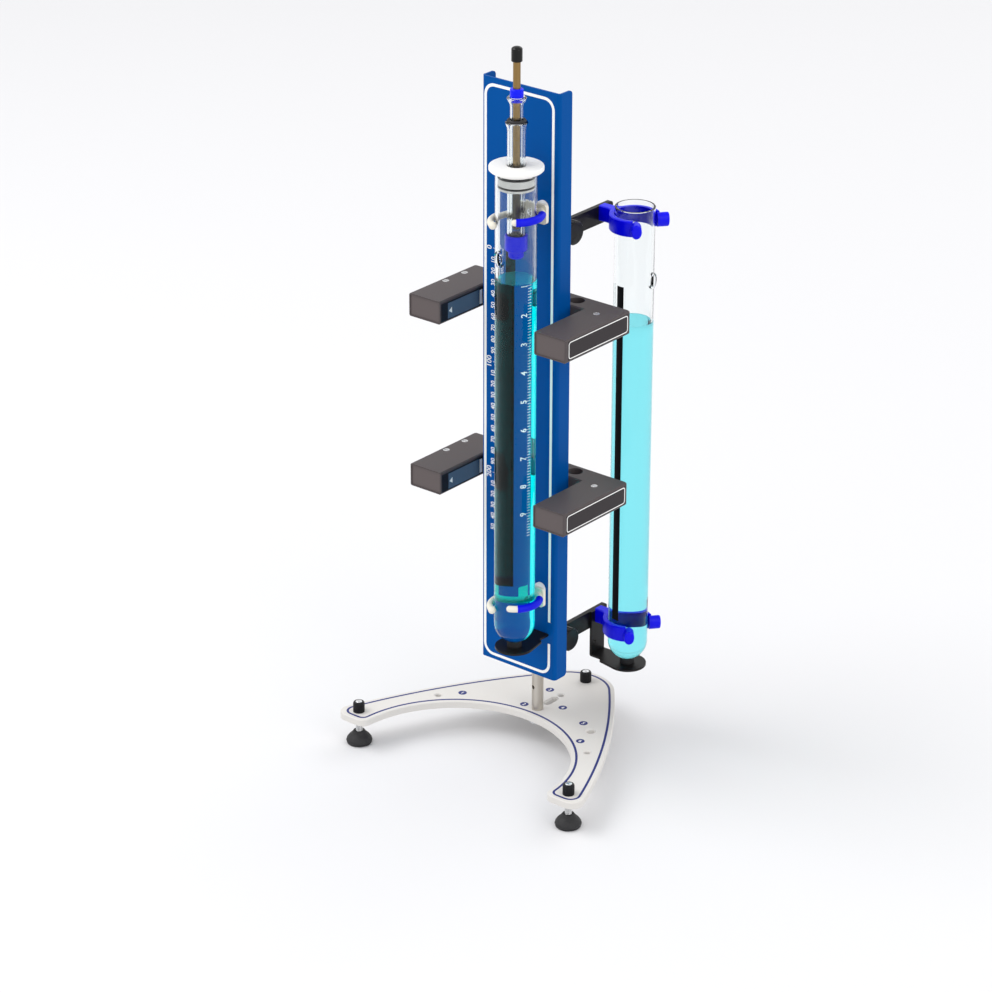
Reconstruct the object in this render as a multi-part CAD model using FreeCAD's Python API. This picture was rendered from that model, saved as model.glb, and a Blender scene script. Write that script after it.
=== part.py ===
"""Falling ball viscometer on a three-footed stand, one STEP file per piece.

The support rod stands on the origin while the pieces are drawn. All pieces are
shifted together along Y when they are written, so the box of the whole
instrument is centred on the origin and stands on Z = 0. Sizes in millimetres.
"""
import FreeCAD
import Part
import math
import os

from FreeCAD import Vector

# Fits and gaps
RUN = 0.05          # radial clearance of a pin that turns or slides in a bore
SNUG = 0.02         # radial clearance of a piece fixed in its seat
LIFT = 0.10         # space between flat faces of pieces that move on each other
CLEAR = 0.50        # radial clearance of a glass tube inside its clip

# Support rod
ROD_R = 5.0
ROD_BELOW_PANEL = 19.6
ROD_STUB_R = 4.0
ROD_STUB_LEN = 13.0
ROD_NUT_AF = 13.0
ROD_NUT_H = 6.0
ROD_HOLE_R = 1.8
ROD_HOLE_Z = 52.0
ROD_HOLE_TURN = -15.0

# Base plate
PLATE_LOW = 24.0
PLATE_T = 6.0
PLATE_TOP = PLATE_LOW + PLATE_T
BACK_CORNER_Y = 44.4
BACK_CORNER_R = 39.0
SIDE_R = 604.5
TIP_X = 135.0
TIP_Y = -114.5
BAY_Y = -112.0
BAY_R = 98.5
TIP_ROUND_OUT = 10.0
TIP_ROUND_IN = 8.0
PLATE_EDGE = 0.6
SMALL_HOLE_R = 2.7
SMALL_SINK_R = 3.75
SINK_DEPTH = 1.0
WIDE_HOLE_R = 3.4
WIDE_SINK_R = 4.7
ARM_HOLE_X = 82.0
ARM_HOLE_Y = -35.3
WIDE_HOLE_X = 61.0
WIDE_HOLE_Y = -3.7
BACK_HOLE_Y = 32.5
SLOT_FROM_Y = 9.6
SLOT_TO_Y = 27.0

# Levelling feet
FOOT_X = 115.0
FOOT_Y = -102.0
BACK_FOOT_Y = 67.0
STUD_R = 3.0
STUD_LOW = 3.1
PAD_FLOOR = 3.0
PAD_TOP = 12.0
PAD_TOP_R = 5.4
PAD_WIDE_R = 11.3
PAD_WIDE_Z = 3.0
FOOT_KNOB_R = 5.0
FOOT_KNOB_H = 9.6
FOOT_FLUTES = 12
FOOT_FLUTE_R = 0.7
STUD_DOME = 0.7

# Panel, a folded sheet
PANEL_W = 80.0
PANEL_FRONT = -27.2
PANEL_DEPTH = 15.85
PANEL_LOW = 80.0
PANEL_RISE = 59.3
SHEET_T = 1.5
FOLD_R = 3.0
FLANGE_CORNER_R = 3.5
PANEL_BACK = PANEL_FRONT + SHEET_T

# Clamps that hold the panel to the rod
CLAMP_UP = 42.0
CLAMP_DROP = 54.6
CLAMP_HALF_W = 14.0
CLAMP_FLANGE_T = 6.0
CLAMP_HALF_H = 10.0
CLAMP_WEB_HALF = 6.5
CLAMP_BOSS_R = 8.5
WELD_STUD_X = 10.5
WELD_STUD_R = 2.0
WELD_STUD_LEN = 11.0
NUT4_AF = 7.0
NUT4_H = 3.2
SET_SCREW_R = 2.5
SET_SCREW_LEN = 5.0
SET_HEX_AF = 2.5

# Glass tubes
TUBE_R = 17.0
TUBE_WALL = 1.75
TUBE_LEN = 413.4
FRONT_X = 24.0
FRONT_Y = -61.6
REAR_X = 43.3
REAR_Y = 69.2
PORT_HALF_W = 3.4
PORT_HALF_H = 5.4
PORT_LIP = 1.6
PORT_STAND = 1.7
FRONT_PORT_DROP = 68.9
FRONT_PORT_TURN = -11.0
REAR_PORT_DROP = 61.9
REAR_PORT_TURN = 97.0
TUBE_BORE_R = TUBE_R - TUBE_WALL

# Coloured strips on the tubes
STRIP_T = 0.2
FRONT_STRIP_W = 7.0
FRONT_STRIP_UP = 57.1
FRONT_STRIP_DROP = 66.3
FRONT_STRIP_TURN = -120.0
REAR_STRIP_W = 6.8
REAR_STRIP_UP = 41.9
REAR_STRIP_DROP = 65.9
REAR_STRIP_TURN = -3.3

# Shelves and rubber rests under the tubes
SHELF_T = 2.0
SHELF_NECK_HALF = 9.0
SHELF_NECK_END = 22.3
SHELF_STEP_HALF = 13.0
SHELF_STEP_AT = 20.0
SHELF_ROUND_R = 16.3
FRONT_SHELF_TOP = 122.4
FRONT_LEG_LEN = 26.0
REAR_SHELF_TOP = 62.2
REAR_LEG_TOP = 102.7
REAR_LEG_HOLE_R = 1.5
REAR_LEG_HOLE_DY = -4.5
REAR_LEG_HOLE_UP = 11.0
REST_R = 6.2
REST_H = 5.1
REST_FLAT_R = 1.5
REST_DISH_R = 5.7
REST_DISH_H = 0.6
REST_SCREW_R = 1.5
REST_SCREW_IN = 3.0
REST_NUT_AF = 5.5
REST_NUT_H = 2.4

# Front clips, a moulded plate with two round arms
CLIP_DROP = 38.0
CLIP_UP = 35.7
CLIP_WIRE_R = 2.75
SLEEVE_R = 3.25
CLIP_PATH_R = TUBE_R + 0.3 + SLEEVE_R
CLIP_PLATE_HALF_W = 15.0
CLIP_PLATE_HALF_H = 8.4
CLIP_PLATE_T = 3.0
CLIP_STAGGER = 3.3
CLIP_PLATE_FRONT = -42.2
CLIP_PLATE_ROUND = 3.0
CLIP_ROOT_TURN = 150.0
CLIP_TIP_TURN = {"upper": 36.0, "lower": 27.7}
CLIP_BEAD_TURN = 26.0
CLIP_BEAD_R = 3.3
SLEEVE_FROM = {"upper": 39.0, "lower": 46.0}
SLEEVE_TO = 125.0
SPACER_R = 5.5
CLIP_SCREW_R = 2.0
CLIP_HEAD_R = 3.8
CLIP_HEAD_H = 2.2

# Light gates
GATE_TOPS = {"upper": 416.5, "lower": 264.2}
GATE_H = 20.0
GATE_X0 = -78.6
GATE_X1 = 85.2
GATE_IN0 = -45.6
GATE_IN1 = 52.9
GATE_FRONT = -73.7
BRIDGE_FRONT = -10.9
BRIDGE_BACK = 11.0
GATE_CORNER_R = 3.0
GATE_EDGE_R = 1.0
GATE_WALL = 1.8
GATE_POCKET_W = 21.0
GATE_POCKET_BACK = -18.0
END_LIP = 1.2
END_REBATE = 2.6
END_PLATE_T = 2.0
SPARE_HOLE_R = 6.4
SPARE_HOLE_Y = 0.7
SPARE_HOLE_XS = (37.7, -31.7)
GATE_SCREWS = ((68.0, -12.4), (-73.3, -33.6), (-73.3, -9.4))
SINK_HEAD_R = 2.8
SINK_HEAD_H = 1.7
SINK_SHANK_R = 1.5
SINK_SHANK_LEN = 9.0
SINK_SLOT_W = 0.8
BEAM_Y = FRONT_Y
LENS_R = 2.5
LENS_LEN = 7.0
LENS_SUNK = 0.4
SOCKET_X = -60.0
SOCKET_R = 4.5
SOCKET_LEN = 10.0
SOCKET_BORE_R = 1.8
SOCKET_BORE_LEN = 8.0
SOCKET_COLLAR_R = 5.6
SOCKET_COLLAR_T = 0.9

# Clamp knobs
KNOB_R = 10.3
KNOB_T = 8.0
KNOB_HUB_R = 5.0
KNOB_HUB_LEN = 3.7
KNOB_GAP = 0.25
KNOB_FLUTES = 14
KNOB_FLUTE_R = 1.4
KNOB_SCREW_R = 2.5
ARM_KNOB_SCREW_LEN = 20.0

# Rear arms, flat bar bent round the rod
ARM_T = 4.0
ARM_H = 15.9
ARM_END_Y = 84.0
ARM_RETURN_Y = 30.0
ARM_END_ROUND = 3.0
UPPER_ARM_UNDER_CLIP = 10.0
LOWER_ARM_UNDER_CLIP = 11.3
ARM_KNOB_Y = 20.0
ARM_IN = ROD_R + RUN
ARM_FACE = ARM_IN + ARM_T

# Rear clips, coated spring strip
REAR_CLIP_DROP = 13.0
REAR_CLIP_UP = 31.5
REAR_CLIP_HALF_H = 6.8
REAR_CLIP_T = 4.0
REAR_CLIP_NECK_HALF = 4.3
REAR_CLIP_MOUTH = 58.0
REAR_CLIP_ROOT_R = 8.0
REAR_CLIP_EDGE = 1.2
END_TURN = 50.0
END_HALF_W = 4.5
END_HALF_H = 6.1
END_NEAR = 18.5
END_FAR = 28.5
END_ROUND = 1.5
REAR_SCREW_R = 1.5
REAR_SCREW_IN = 6.0
REAR_HEAD_R = 2.8
REAR_HEAD_H = 2.2

# Stopper and the release device in it
STOPPER_R = 22.2
STOPPER_T = 4.4
STOPPER_EDGE = 1.0
STEP_R = 16.9
STEP_H = 2.3
PLUG_R = 14.6
PLUG_LOW_DROP = 12.7
SEAL_DROPS = (9.7, 1.9)
SEAL_WIRES = (0.8, 1.05)
GUIDE_R = 7.5
GUIDE_BORE_R = 6.3
GUIDE_RISE = 42.6
GUIDE_LIP_R = 9.2
GUIDE_FLARE_H = 6.2
COLLAR_R = 9.0
COLLAR_DROP = 51.4
COLLAR_H = 13.2
COLLAR_FLOOR = 2.0
RING_R = 7.72
RING_IN = 0.8
RING_H = 3.0
DROP_R = 5.4
DROP_BORE_R = 4.2
DROP_RISE = 63.1
DROP_LIP_R = 7.88
DROP_FLARE_H = 6.5
BUSH_R = 5.42
BUSH_IN = 1.5
BUSH_H = 8.4
BUSH_STEM_LEN = 1.9
TIP_R = 6.2
TIP_DROP = 56.2
TIP_H = 14.9
TIP_SEAT_H = 7.4
PLUNGER_R = 3.0
PLUNGER_UP = 24.8
CAP_R = 4.5
CAP_RISE = 29.1
CAP_SHOULDER_H = 9.9
CAP_H = 12.3
CAP_DEPTH = 8.1
BALL_R = 3.0
BALL_UP = 3.3

# Sizes that follow from the ones above
FRONT_TUBE_LOW = FRONT_SHELF_TOP + REST_H - REST_DISH_H
FRONT_TUBE_TOP = FRONT_TUBE_LOW + TUBE_LEN
REAR_TUBE_LOW = REAR_SHELF_TOP + REST_H - REST_DISH_H
REAR_TUBE_TOP = REAR_TUBE_LOW + TUBE_LEN
PANEL_TOP = FRONT_TUBE_TOP + PANEL_RISE
ROD_TOP = PANEL_TOP - ROD_BELOW_PANEL
CLAMP_ZS = (PANEL_LOW + CLAMP_UP, PANEL_TOP - CLAMP_DROP)
FRONT_STRIP_LOW = FRONT_TUBE_LOW + FRONT_STRIP_UP
FRONT_STRIP_TOP = FRONT_TUBE_TOP - FRONT_STRIP_DROP
REAR_STRIP_LOW = REAR_TUBE_LOW + REAR_STRIP_UP
REAR_STRIP_TOP = REAR_TUBE_TOP - REAR_STRIP_DROP
CLIP_ZS = {"upper": FRONT_TUBE_TOP - CLIP_DROP, "lower": FRONT_TUBE_LOW + CLIP_UP}
REAR_CLIP_ZS = {"upper": REAR_TUBE_TOP - REAR_CLIP_DROP, "lower": REAR_TUBE_LOW + REAR_CLIP_UP}
ARM_LOWS = {"upper": REAR_CLIP_ZS["upper"] - UPPER_ARM_UNDER_CLIP,
            "lower": REAR_CLIP_ZS["lower"] - LOWER_ARM_UNDER_CLIP}
GUIDE_TOP = FRONT_TUBE_TOP + GUIDE_RISE
COLLAR_TOP = FRONT_TUBE_TOP - COLLAR_DROP
COLLAR_LOW = COLLAR_TOP - COLLAR_H
RING_LOW = GUIDE_TOP - RING_IN
RING_TOP = RING_LOW + RING_H
DROP_TOP = FRONT_TUBE_TOP + DROP_RISE
BUSH_LOW = DROP_TOP - BUSH_IN
BUSH_TOP = BUSH_LOW + BUSH_H
BUSH_STEM_LOW = BUSH_LOW - BUSH_STEM_LEN
TIP_TOP = FRONT_TUBE_TOP - TIP_DROP
TIP_LOW = TIP_TOP - TIP_H
TIP_SEAT = TIP_LOW + TIP_SEAT_H
PLUNGER_LOW = TIP_LOW + PLUNGER_UP
CAP_LOW = DROP_TOP + CAP_RISE
CAP_SHOULDER = CAP_LOW + CAP_SHOULDER_H
CAP_TOP = CAP_LOW + CAP_H
CAP_FLOOR = CAP_LOW + CAP_DEPTH
BALL_Z = TIP_LOW + BALL_UP
FRONT_EDGE = TIP_Y
END_SIN = math.sin(math.radians(END_TURN))
END_COS = math.cos(math.radians(END_TURN))
BACK_EDGE = REAR_Y + (END_FAR - END_ROUND) * END_SIN + (END_HALF_W - END_ROUND) * END_COS + END_ROUND
SHIFT_Y = -(FRONT_EDGE + BACK_EDGE) / 2.0


def box(x0, x1, y0, y1, z0, z1):
    """Block between two corners."""
    low = Vector(min(x0, x1), min(y0, y1), min(z0, z1))
    return Part.makeBox(abs(x1 - x0), abs(y1 - y0), abs(z1 - z0), low)


def rod_z(radius, x, y, z0, z1):
    """Round bar along Z."""
    return Part.makeCylinder(radius, z1 - z0, Vector(x, y, z0), Vector(0, 0, 1))


def rod_x(radius, y, z, x0, x1):
    """Round bar along X."""
    return Part.makeCylinder(radius, x1 - x0, Vector(x0, y, z), Vector(1, 0, 0))


def rod_y(radius, x, z, y0, y1):
    """Round bar along Y."""
    return Part.makeCylinder(radius, y1 - y0, Vector(x, y0, z), Vector(0, 1, 0))


def spin(points, x=0.0, y=0.0):
    """Turned piece from a closed list of radius and height pairs."""
    corners = [Vector(r, 0, z) for r, z in points]
    wire = Part.makePolygon(corners + [corners[0]])
    solid = Part.Face(wire).revolve(Vector(0, 0, 0), Vector(0, 0, 1), 360)
    solid.translate(Vector(x, y, 0))
    return solid


def spin_edges(edges, x=0.0, y=0.0):
    """Turned piece from a closed chain of edges in the XZ plane."""
    face = Part.Face(Part.Wire(edges))
    solid = face.revolve(Vector(0, 0, 0), Vector(0, 0, 1), 360)
    solid.translate(Vector(x, y, 0))
    return solid


def line(a, b):
    """Straight edge in the XZ plane."""
    return Part.makeLine(Vector(a[0], 0, a[1]), Vector(b[0], 0, b[1]))


def bend(a, m, b):
    """Arc through three points in the XZ plane."""
    return Part.Arc(Vector(a[0], 0, a[1]), Vector(m[0], 0, m[1]), Vector(b[0], 0, b[1])).toShape()


def slab(points, z0, z1):
    """Flat piece from a closed outline in the XY plane."""
    corners = [Vector(x, y, z0) for x, y in points]
    wire = Part.makePolygon(corners + [corners[0]])
    return Part.Face(wire).extrude(Vector(0, 0, z1 - z0))


def hexagon(across, x, y, z0, z1):
    """Six-sided bar along Z."""
    reach = across / math.sqrt(3.0)
    turns = [math.radians(60.0 * k) for k in range(6)]
    return slab([(x + reach * math.cos(t), y + reach * math.sin(t)) for t in turns], z0, z1)


def join(shapes):
    """One solid from overlapping shapes."""
    whole = shapes[0].multiFuse(shapes[1:])
    return whole.removeSplitter()


def group(shapes):
    """Several separate solids kept together."""
    return Part.makeCompound(shapes)


def turned(shape, degrees, x=0.0, y=0.0):
    """Copy turned about a vertical line."""
    copy = shape.copy()
    copy.rotate(Vector(x, y, 0), Vector(0, 0, 1), degrees)
    return copy


def moved(shape, x=0.0, y=0.0, z=0.0):
    """Copy moved along the axes."""
    copy = shape.copy()
    copy.translate(Vector(x, y, z))
    return copy


def edges_at(shape, test):
    """Edges whose middle passes the test."""
    return [e for e in shape.Edges if test(e.CenterOfMass, e)]


def upright(edge):
    """True for a straight vertical edge."""
    box_of = edge.BoundBox
    return box_of.XLength < 0.01 and box_of.YLength < 0.01 and box_of.ZLength > 0.5


def save(name, shape):
    """Write one piece, shifted to the common origin."""
    out = moved(shape, 0.0, SHIFT_Y, 0.0)
    out.exportStep("parts/%s.step" % name)


def plate_outline():
    """Closed outline of the base plate with sharp corners at the front."""
    reach = SIDE_R - BACK_CORNER_R
    dx = TIP_X
    dy = TIP_Y - BACK_CORNER_Y
    apart = math.hypot(dx, dy)
    along = (reach ** 2 - SIDE_R ** 2 + apart ** 2) / (2.0 * apart)
    across = math.sqrt(reach ** 2 - along ** 2)
    ux = dx / apart
    uy = dy / apart
    centre_x = along * ux + across * uy
    centre_y = BACK_CORNER_Y + along * uy - across * ux
    away = math.hypot(-centre_x, BACK_CORNER_Y - centre_y)
    touch_x = -centre_x / away * BACK_CORNER_R
    touch_y = BACK_CORNER_Y + (BACK_CORNER_Y - centre_y) / away * BACK_CORNER_R
    start = math.atan2(touch_y - centre_y, touch_x - centre_x)
    end = math.atan2(TIP_Y - centre_y, TIP_X - centre_x)
    mid = (start + end) / 2.0
    mid_x = centre_x + SIDE_R * math.cos(mid)
    mid_y = centre_y + SIDE_R * math.sin(mid)
    bay_x = math.sqrt(BAY_R ** 2 - (TIP_Y - BAY_Y) ** 2)
    z = PLATE_LOW
    back = Part.Arc(Vector(-touch_x, touch_y, z), Vector(0, BACK_CORNER_Y + BACK_CORNER_R, z),
                    Vector(touch_x, touch_y, z)).toShape()
    right = Part.Arc(Vector(touch_x, touch_y, z), Vector(mid_x, mid_y, z),
                     Vector(TIP_X, TIP_Y, z)).toShape()
    left = Part.Arc(Vector(-TIP_X, TIP_Y, z), Vector(-mid_x, mid_y, z),
                    Vector(-touch_x, touch_y, z)).toShape()
    right_front = Part.makeLine(Vector(TIP_X, TIP_Y, z), Vector(bay_x, TIP_Y, z))
    bay = Part.Arc(Vector(bay_x, TIP_Y, z), Vector(0, BAY_Y + BAY_R, z),
                   Vector(-bay_x, TIP_Y, z)).toShape()
    left_front = Part.makeLine(Vector(-bay_x, TIP_Y, z), Vector(-TIP_X, TIP_Y, z))
    return Part.Wire([back, right, right_front, bay, left_front, left])


def sunk_hole(hole_r, sink_r, x, y):
    """Cutter for a hole through the plate with a small cone at the top."""
    return spin([(0, PLATE_LOW - 1), (hole_r, PLATE_LOW - 1), (hole_r, PLATE_TOP - SINK_DEPTH),
                 (sink_r, PLATE_TOP), (sink_r, PLATE_TOP + 1), (0, PLATE_TOP + 1)], x, y)


def make_base_plate():
    """Three-armed plate with levelling holes, spare holes and a slot."""
    plate = Part.Face(plate_outline()).extrude(Vector(0, 0, PLATE_T))
    outer = edges_at(plate, lambda c, e: upright(e) and abs(c.x) > TIP_X - 1)
    plate = plate.makeFillet(TIP_ROUND_OUT, outer)
    inner = edges_at(plate, lambda c, e: upright(e) and abs(abs(c.x) - BAY_R) < 1.5
                     and c.y < TIP_Y + 1)
    plate = plate.makeFillet(TIP_ROUND_IN, inner)
    rim = [e for e in plate.Edges if abs(e.BoundBox.ZMin - PLATE_TOP) < 0.01]
    plate = plate.makeChamfer(PLATE_EDGE, rim)
    cutters = [rod_z(ROD_STUB_R + SNUG, 0, 0, PLATE_LOW - 1, PLATE_TOP + 1)]
    for x, y in foot_places():
        cutters.append(rod_z(STUD_R + RUN, x, y, PLATE_LOW - 1, PLATE_TOP + 1))
    cutters.append(sunk_hole(SMALL_HOLE_R, SMALL_SINK_R, ARM_HOLE_X, ARM_HOLE_Y))
    cutters.append(sunk_hole(SMALL_HOLE_R, SMALL_SINK_R, -ARM_HOLE_X, ARM_HOLE_Y))
    cutters.append(sunk_hole(SMALL_HOLE_R, SMALL_SINK_R, 0, BACK_HOLE_Y))
    cutters.append(sunk_hole(WIDE_HOLE_R, WIDE_SINK_R, WIDE_HOLE_X, WIDE_HOLE_Y))
    near = SLOT_FROM_Y + SMALL_SINK_R
    far = SLOT_TO_Y - SMALL_SINK_R
    cutters.append(box(-SMALL_HOLE_R, SMALL_HOLE_R, near, far, PLATE_LOW - 1, PLATE_TOP + 1))
    cutters.append(box(-SMALL_SINK_R, SMALL_SINK_R, near, far, PLATE_TOP - SINK_DEPTH, PLATE_TOP + 1))
    for y in (near, far):
        cutters.append(rod_z(SMALL_HOLE_R, 0, y, PLATE_LOW - 1, PLATE_TOP + 1))
        cutters.append(rod_z(SMALL_SINK_R, 0, y, PLATE_TOP - SINK_DEPTH, PLATE_TOP + 1))
    return plate.cut(cutters)


def foot_places():
    """Centres of the left, right and rear foot."""
    return ((-FOOT_X, FOOT_Y), (FOOT_X, FOOT_Y), (0.0, BACK_FOOT_Y))


def make_support_rod():
    """Upright rod with a threaded stub through the plate and a cross hole."""
    rod = spin([(0, PLATE_TOP - ROD_STUB_LEN), (ROD_STUB_R - 0.6, PLATE_TOP - ROD_STUB_LEN),
                (ROD_STUB_R, PLATE_TOP - ROD_STUB_LEN + 0.6), (ROD_STUB_R, PLATE_TOP),
                (ROD_R, PLATE_TOP), (ROD_R, ROD_TOP - 1), (ROD_R - 1, ROD_TOP), (0, ROD_TOP)])
    hole = rod_y(ROD_HOLE_R, 0, ROD_HOLE_Z, -ROD_R - 1, ROD_R + 1)
    return rod.cut(turned(hole, ROD_HOLE_TURN))


def nut_z(across, bore, x, y, z0, z1):
    """Hexagon nut along Z."""
    return hexagon(across, x, y, z0, z1).cut(rod_z(bore, x, y, z0 - 1, z1 + 1))


def make_foot_pad(x, y):
    """Rubber pad with a socket for the stud."""
    bore = STUD_R + RUN
    return spin([(0, 0), (PAD_WIDE_R - 1.7, 0), (PAD_WIDE_R - 0.6, 0.7), (PAD_WIDE_R, PAD_WIDE_Z),
                 (PAD_WIDE_R - 0.5, PAD_WIDE_Z + 1.8), (PAD_WIDE_R - 2.2, PAD_WIDE_Z + 4.2),
                 (PAD_TOP_R + 1.2, PAD_TOP - 2.4), (PAD_TOP_R, PAD_TOP - 0.8),
                 (PAD_TOP_R - 0.6, PAD_TOP), (bore, PAD_TOP), (bore, PAD_FLOOR), (0, PAD_FLOOR)],
                x, y)


def make_foot_stud(x, y):
    """Threaded stud whose domed end shows in the knob."""
    top = PLATE_TOP + LIFT + FOOT_KNOB_H
    return spin([(0, STUD_LOW), (STUD_R - 0.5, STUD_LOW), (STUD_R, STUD_LOW + 0.5), (STUD_R, top),
                 (STUD_R * 0.75, top + STUD_DOME * 0.6), (0, top + STUD_DOME)], x, y)


def make_foot_knob(x, y):
    """Small fluted knob on the stud."""
    low = PLATE_TOP + LIFT
    top = low + FOOT_KNOB_H
    bore = STUD_R + SNUG
    knob = spin([(bore, low), (FOOT_KNOB_R, low), (FOOT_KNOB_R, top - 1.6),
                 (FOOT_KNOB_R - 0.5, top - 0.5), (FOOT_KNOB_R - 1.3, top), (bore, top)], x, y)
    cutters = []
    for k in range(FOOT_FLUTES):
        t = 2.0 * math.pi * k / FOOT_FLUTES
        reach = FOOT_KNOB_R + FOOT_FLUTE_R * 0.55
        cutters.append(rod_z(FOOT_FLUTE_R, x + reach * math.cos(t), y + reach * math.sin(t),
                             low + 1.5, top + 1))
    return knob.cut(cutters)


def make_panel():
    """Folded panel with a slot for the shelf, screw holes and welded studs."""
    half = PANEL_W / 2.0
    flange = PANEL_FRONT + PANEL_DEPTH
    outer = box(-half, half, PANEL_FRONT, flange, PANEL_LOW, PANEL_TOP)
    folds = edges_at(outer, lambda c, e: upright(e) and c.y < PANEL_FRONT + 0.1)
    outer = outer.makeFillet(FOLD_R, folds)
    inner = box(-half + SHEET_T, half - SHEET_T, PANEL_BACK, flange + 1, PANEL_LOW - 1, PANEL_TOP + 1)
    folds = edges_at(inner, lambda c, e: upright(e) and c.y < PANEL_BACK + 0.1)
    inner = inner.makeFillet(FOLD_R - SHEET_T, folds)
    panel = outer.cut(inner)
    corners = edges_at(panel, lambda c, e: abs(c.y - flange) < 0.01 and e.Length < SHEET_T + 0.1)
    panel = panel.makeFillet(FLANGE_CORNER_R, corners)
    cutters = [box(FRONT_X - SHELF_NECK_HALF - LIFT, FRONT_X + SHELF_NECK_HALF + LIFT,
                   PANEL_FRONT - 1, PANEL_BACK + 1,
                   FRONT_SHELF_TOP - SHELF_T - LIFT, FRONT_SHELF_TOP + LIFT)]
    for z in CLIP_ZS.values():
        cutters.append(rod_y(CLIP_SCREW_R + SNUG, FRONT_X, z, PANEL_FRONT - 1, PANEL_BACK + 1))
    panel = panel.cut(cutters)
    studs = []
    for z in CLAMP_ZS:
        for x in (-WELD_STUD_X, WELD_STUD_X):
            studs.append(rod_y(WELD_STUD_R, x, z, PANEL_BACK - 0.5, PANEL_BACK + WELD_STUD_LEN))
    return join([panel] + studs)


def make_panel_clamp(z):
    """Flanged boss that grips the rod behind the panel."""
    front = PANEL_BACK
    shoulder = front + CLAMP_FLANGE_T
    flange = box(-CLAMP_HALF_W, CLAMP_HALF_W, front, shoulder, z - CLAMP_HALF_H, z + CLAMP_HALF_H)
    web = box(-CLAMP_WEB_HALF, CLAMP_WEB_HALF, shoulder - 1, 0, z - CLAMP_HALF_H, z + CLAMP_HALF_H)
    boss = rod_z(CLAMP_BOSS_R, 0, 0, z - CLAMP_HALF_H, z + CLAMP_HALF_H)
    body = join([flange, web, boss])
    cutters = [rod_z(ROD_R + SNUG, 0, 0, z - CLAMP_HALF_H - 1, z + CLAMP_HALF_H + 1)]
    for x in (-WELD_STUD_X, WELD_STUD_X):
        cutters.append(rod_y(WELD_STUD_R + SNUG, x, z, front - 1, shoulder + 1))
    cutters.append(rod_y(SET_SCREW_R + SNUG, 0, z, ROD_R - 1, CLAMP_BOSS_R + 1))
    return body.cut(cutters)


def nut_y(across, bore, x, z, y0, y1):
    """Hexagon nut along Y."""
    nut = nut_z(across, bore, 0, 0, 0, y1 - y0)
    nut.rotate(Vector(0, 0, 0), Vector(1, 0, 0), -90)
    return moved(nut, x, y0, z)


def make_panel_nuts():
    """Four nuts on the welded studs."""
    shoulder = PANEL_BACK + CLAMP_FLANGE_T
    nuts = []
    for z in CLAMP_ZS:
        for x in (-WELD_STUD_X, WELD_STUD_X):
            nuts.append(nut_y(NUT4_AF, WELD_STUD_R + SNUG, x, z, shoulder, shoulder + NUT4_H))
    return group(nuts)


def make_clamp_screws():
    """Two set screws that press on the rod."""
    screws = []
    for z in CLAMP_ZS:
        screw = rod_y(SET_SCREW_R, 0, z, ROD_R, ROD_R + SET_SCREW_LEN)
        key = hexagon(SET_HEX_AF, 0, 0, 0, 2.5)
        key.rotate(Vector(0, 0, 0), Vector(1, 0, 0), -90)
        screws.append(screw.cut(moved(key, 0, ROD_R + SET_SCREW_LEN - 2.0, z)))
    return group(screws)


def shelf_slab(x, y, top, back_reach):
    """Flat shelf round a tube axis with its neck pointing to +Y."""
    far = math.hypot(SHELF_STEP_HALF, SHELF_STEP_AT)
    turn = math.atan2(SHELF_STEP_HALF, SHELF_STEP_AT) + math.acos(SHELF_ROUND_R / far)
    tangent_v = SHELF_ROUND_R * math.sin(turn)
    tangent_u = SHELF_ROUND_R * math.cos(turn)
    half = [(SHELF_NECK_HALF, back_reach), (SHELF_NECK_HALF, SHELF_NECK_END),
            (SHELF_STEP_HALF, SHELF_STEP_AT), (tangent_v, tangent_u)]
    outline = half + [(-v, u) for v, u in reversed(half)]
    neck = slab([(x + v, y + u) for v, u in outline], top - SHELF_T, top)
    disc = rod_z(SHELF_ROUND_R, x, y, top - SHELF_T, top)
    hole = rod_z(REST_SCREW_R + SNUG, x, y, top - SHELF_T - 1, top + 1)
    return join([neck, disc]).cut(hole)


def make_front_shelf():
    """Shelf that passes through the panel and is bent down behind it."""
    back = PANEL_BACK + SHELF_T
    flat = shelf_slab(FRONT_X, FRONT_Y, FRONT_SHELF_TOP, back - FRONT_Y)
    leg = box(FRONT_X - SHELF_NECK_HALF, FRONT_X + SHELF_NECK_HALF, PANEL_BACK, back,
              FRONT_SHELF_TOP - FRONT_LEG_LEN, FRONT_SHELF_TOP)
    shelf = join([flat, leg])
    outer = edges_at(shelf, lambda c, e: abs(c.y - back) < 0.01 and abs(c.z - FRONT_SHELF_TOP) < 0.01)
    return shelf.makeFillet(SHELF_T - 0.1, outer)


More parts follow.
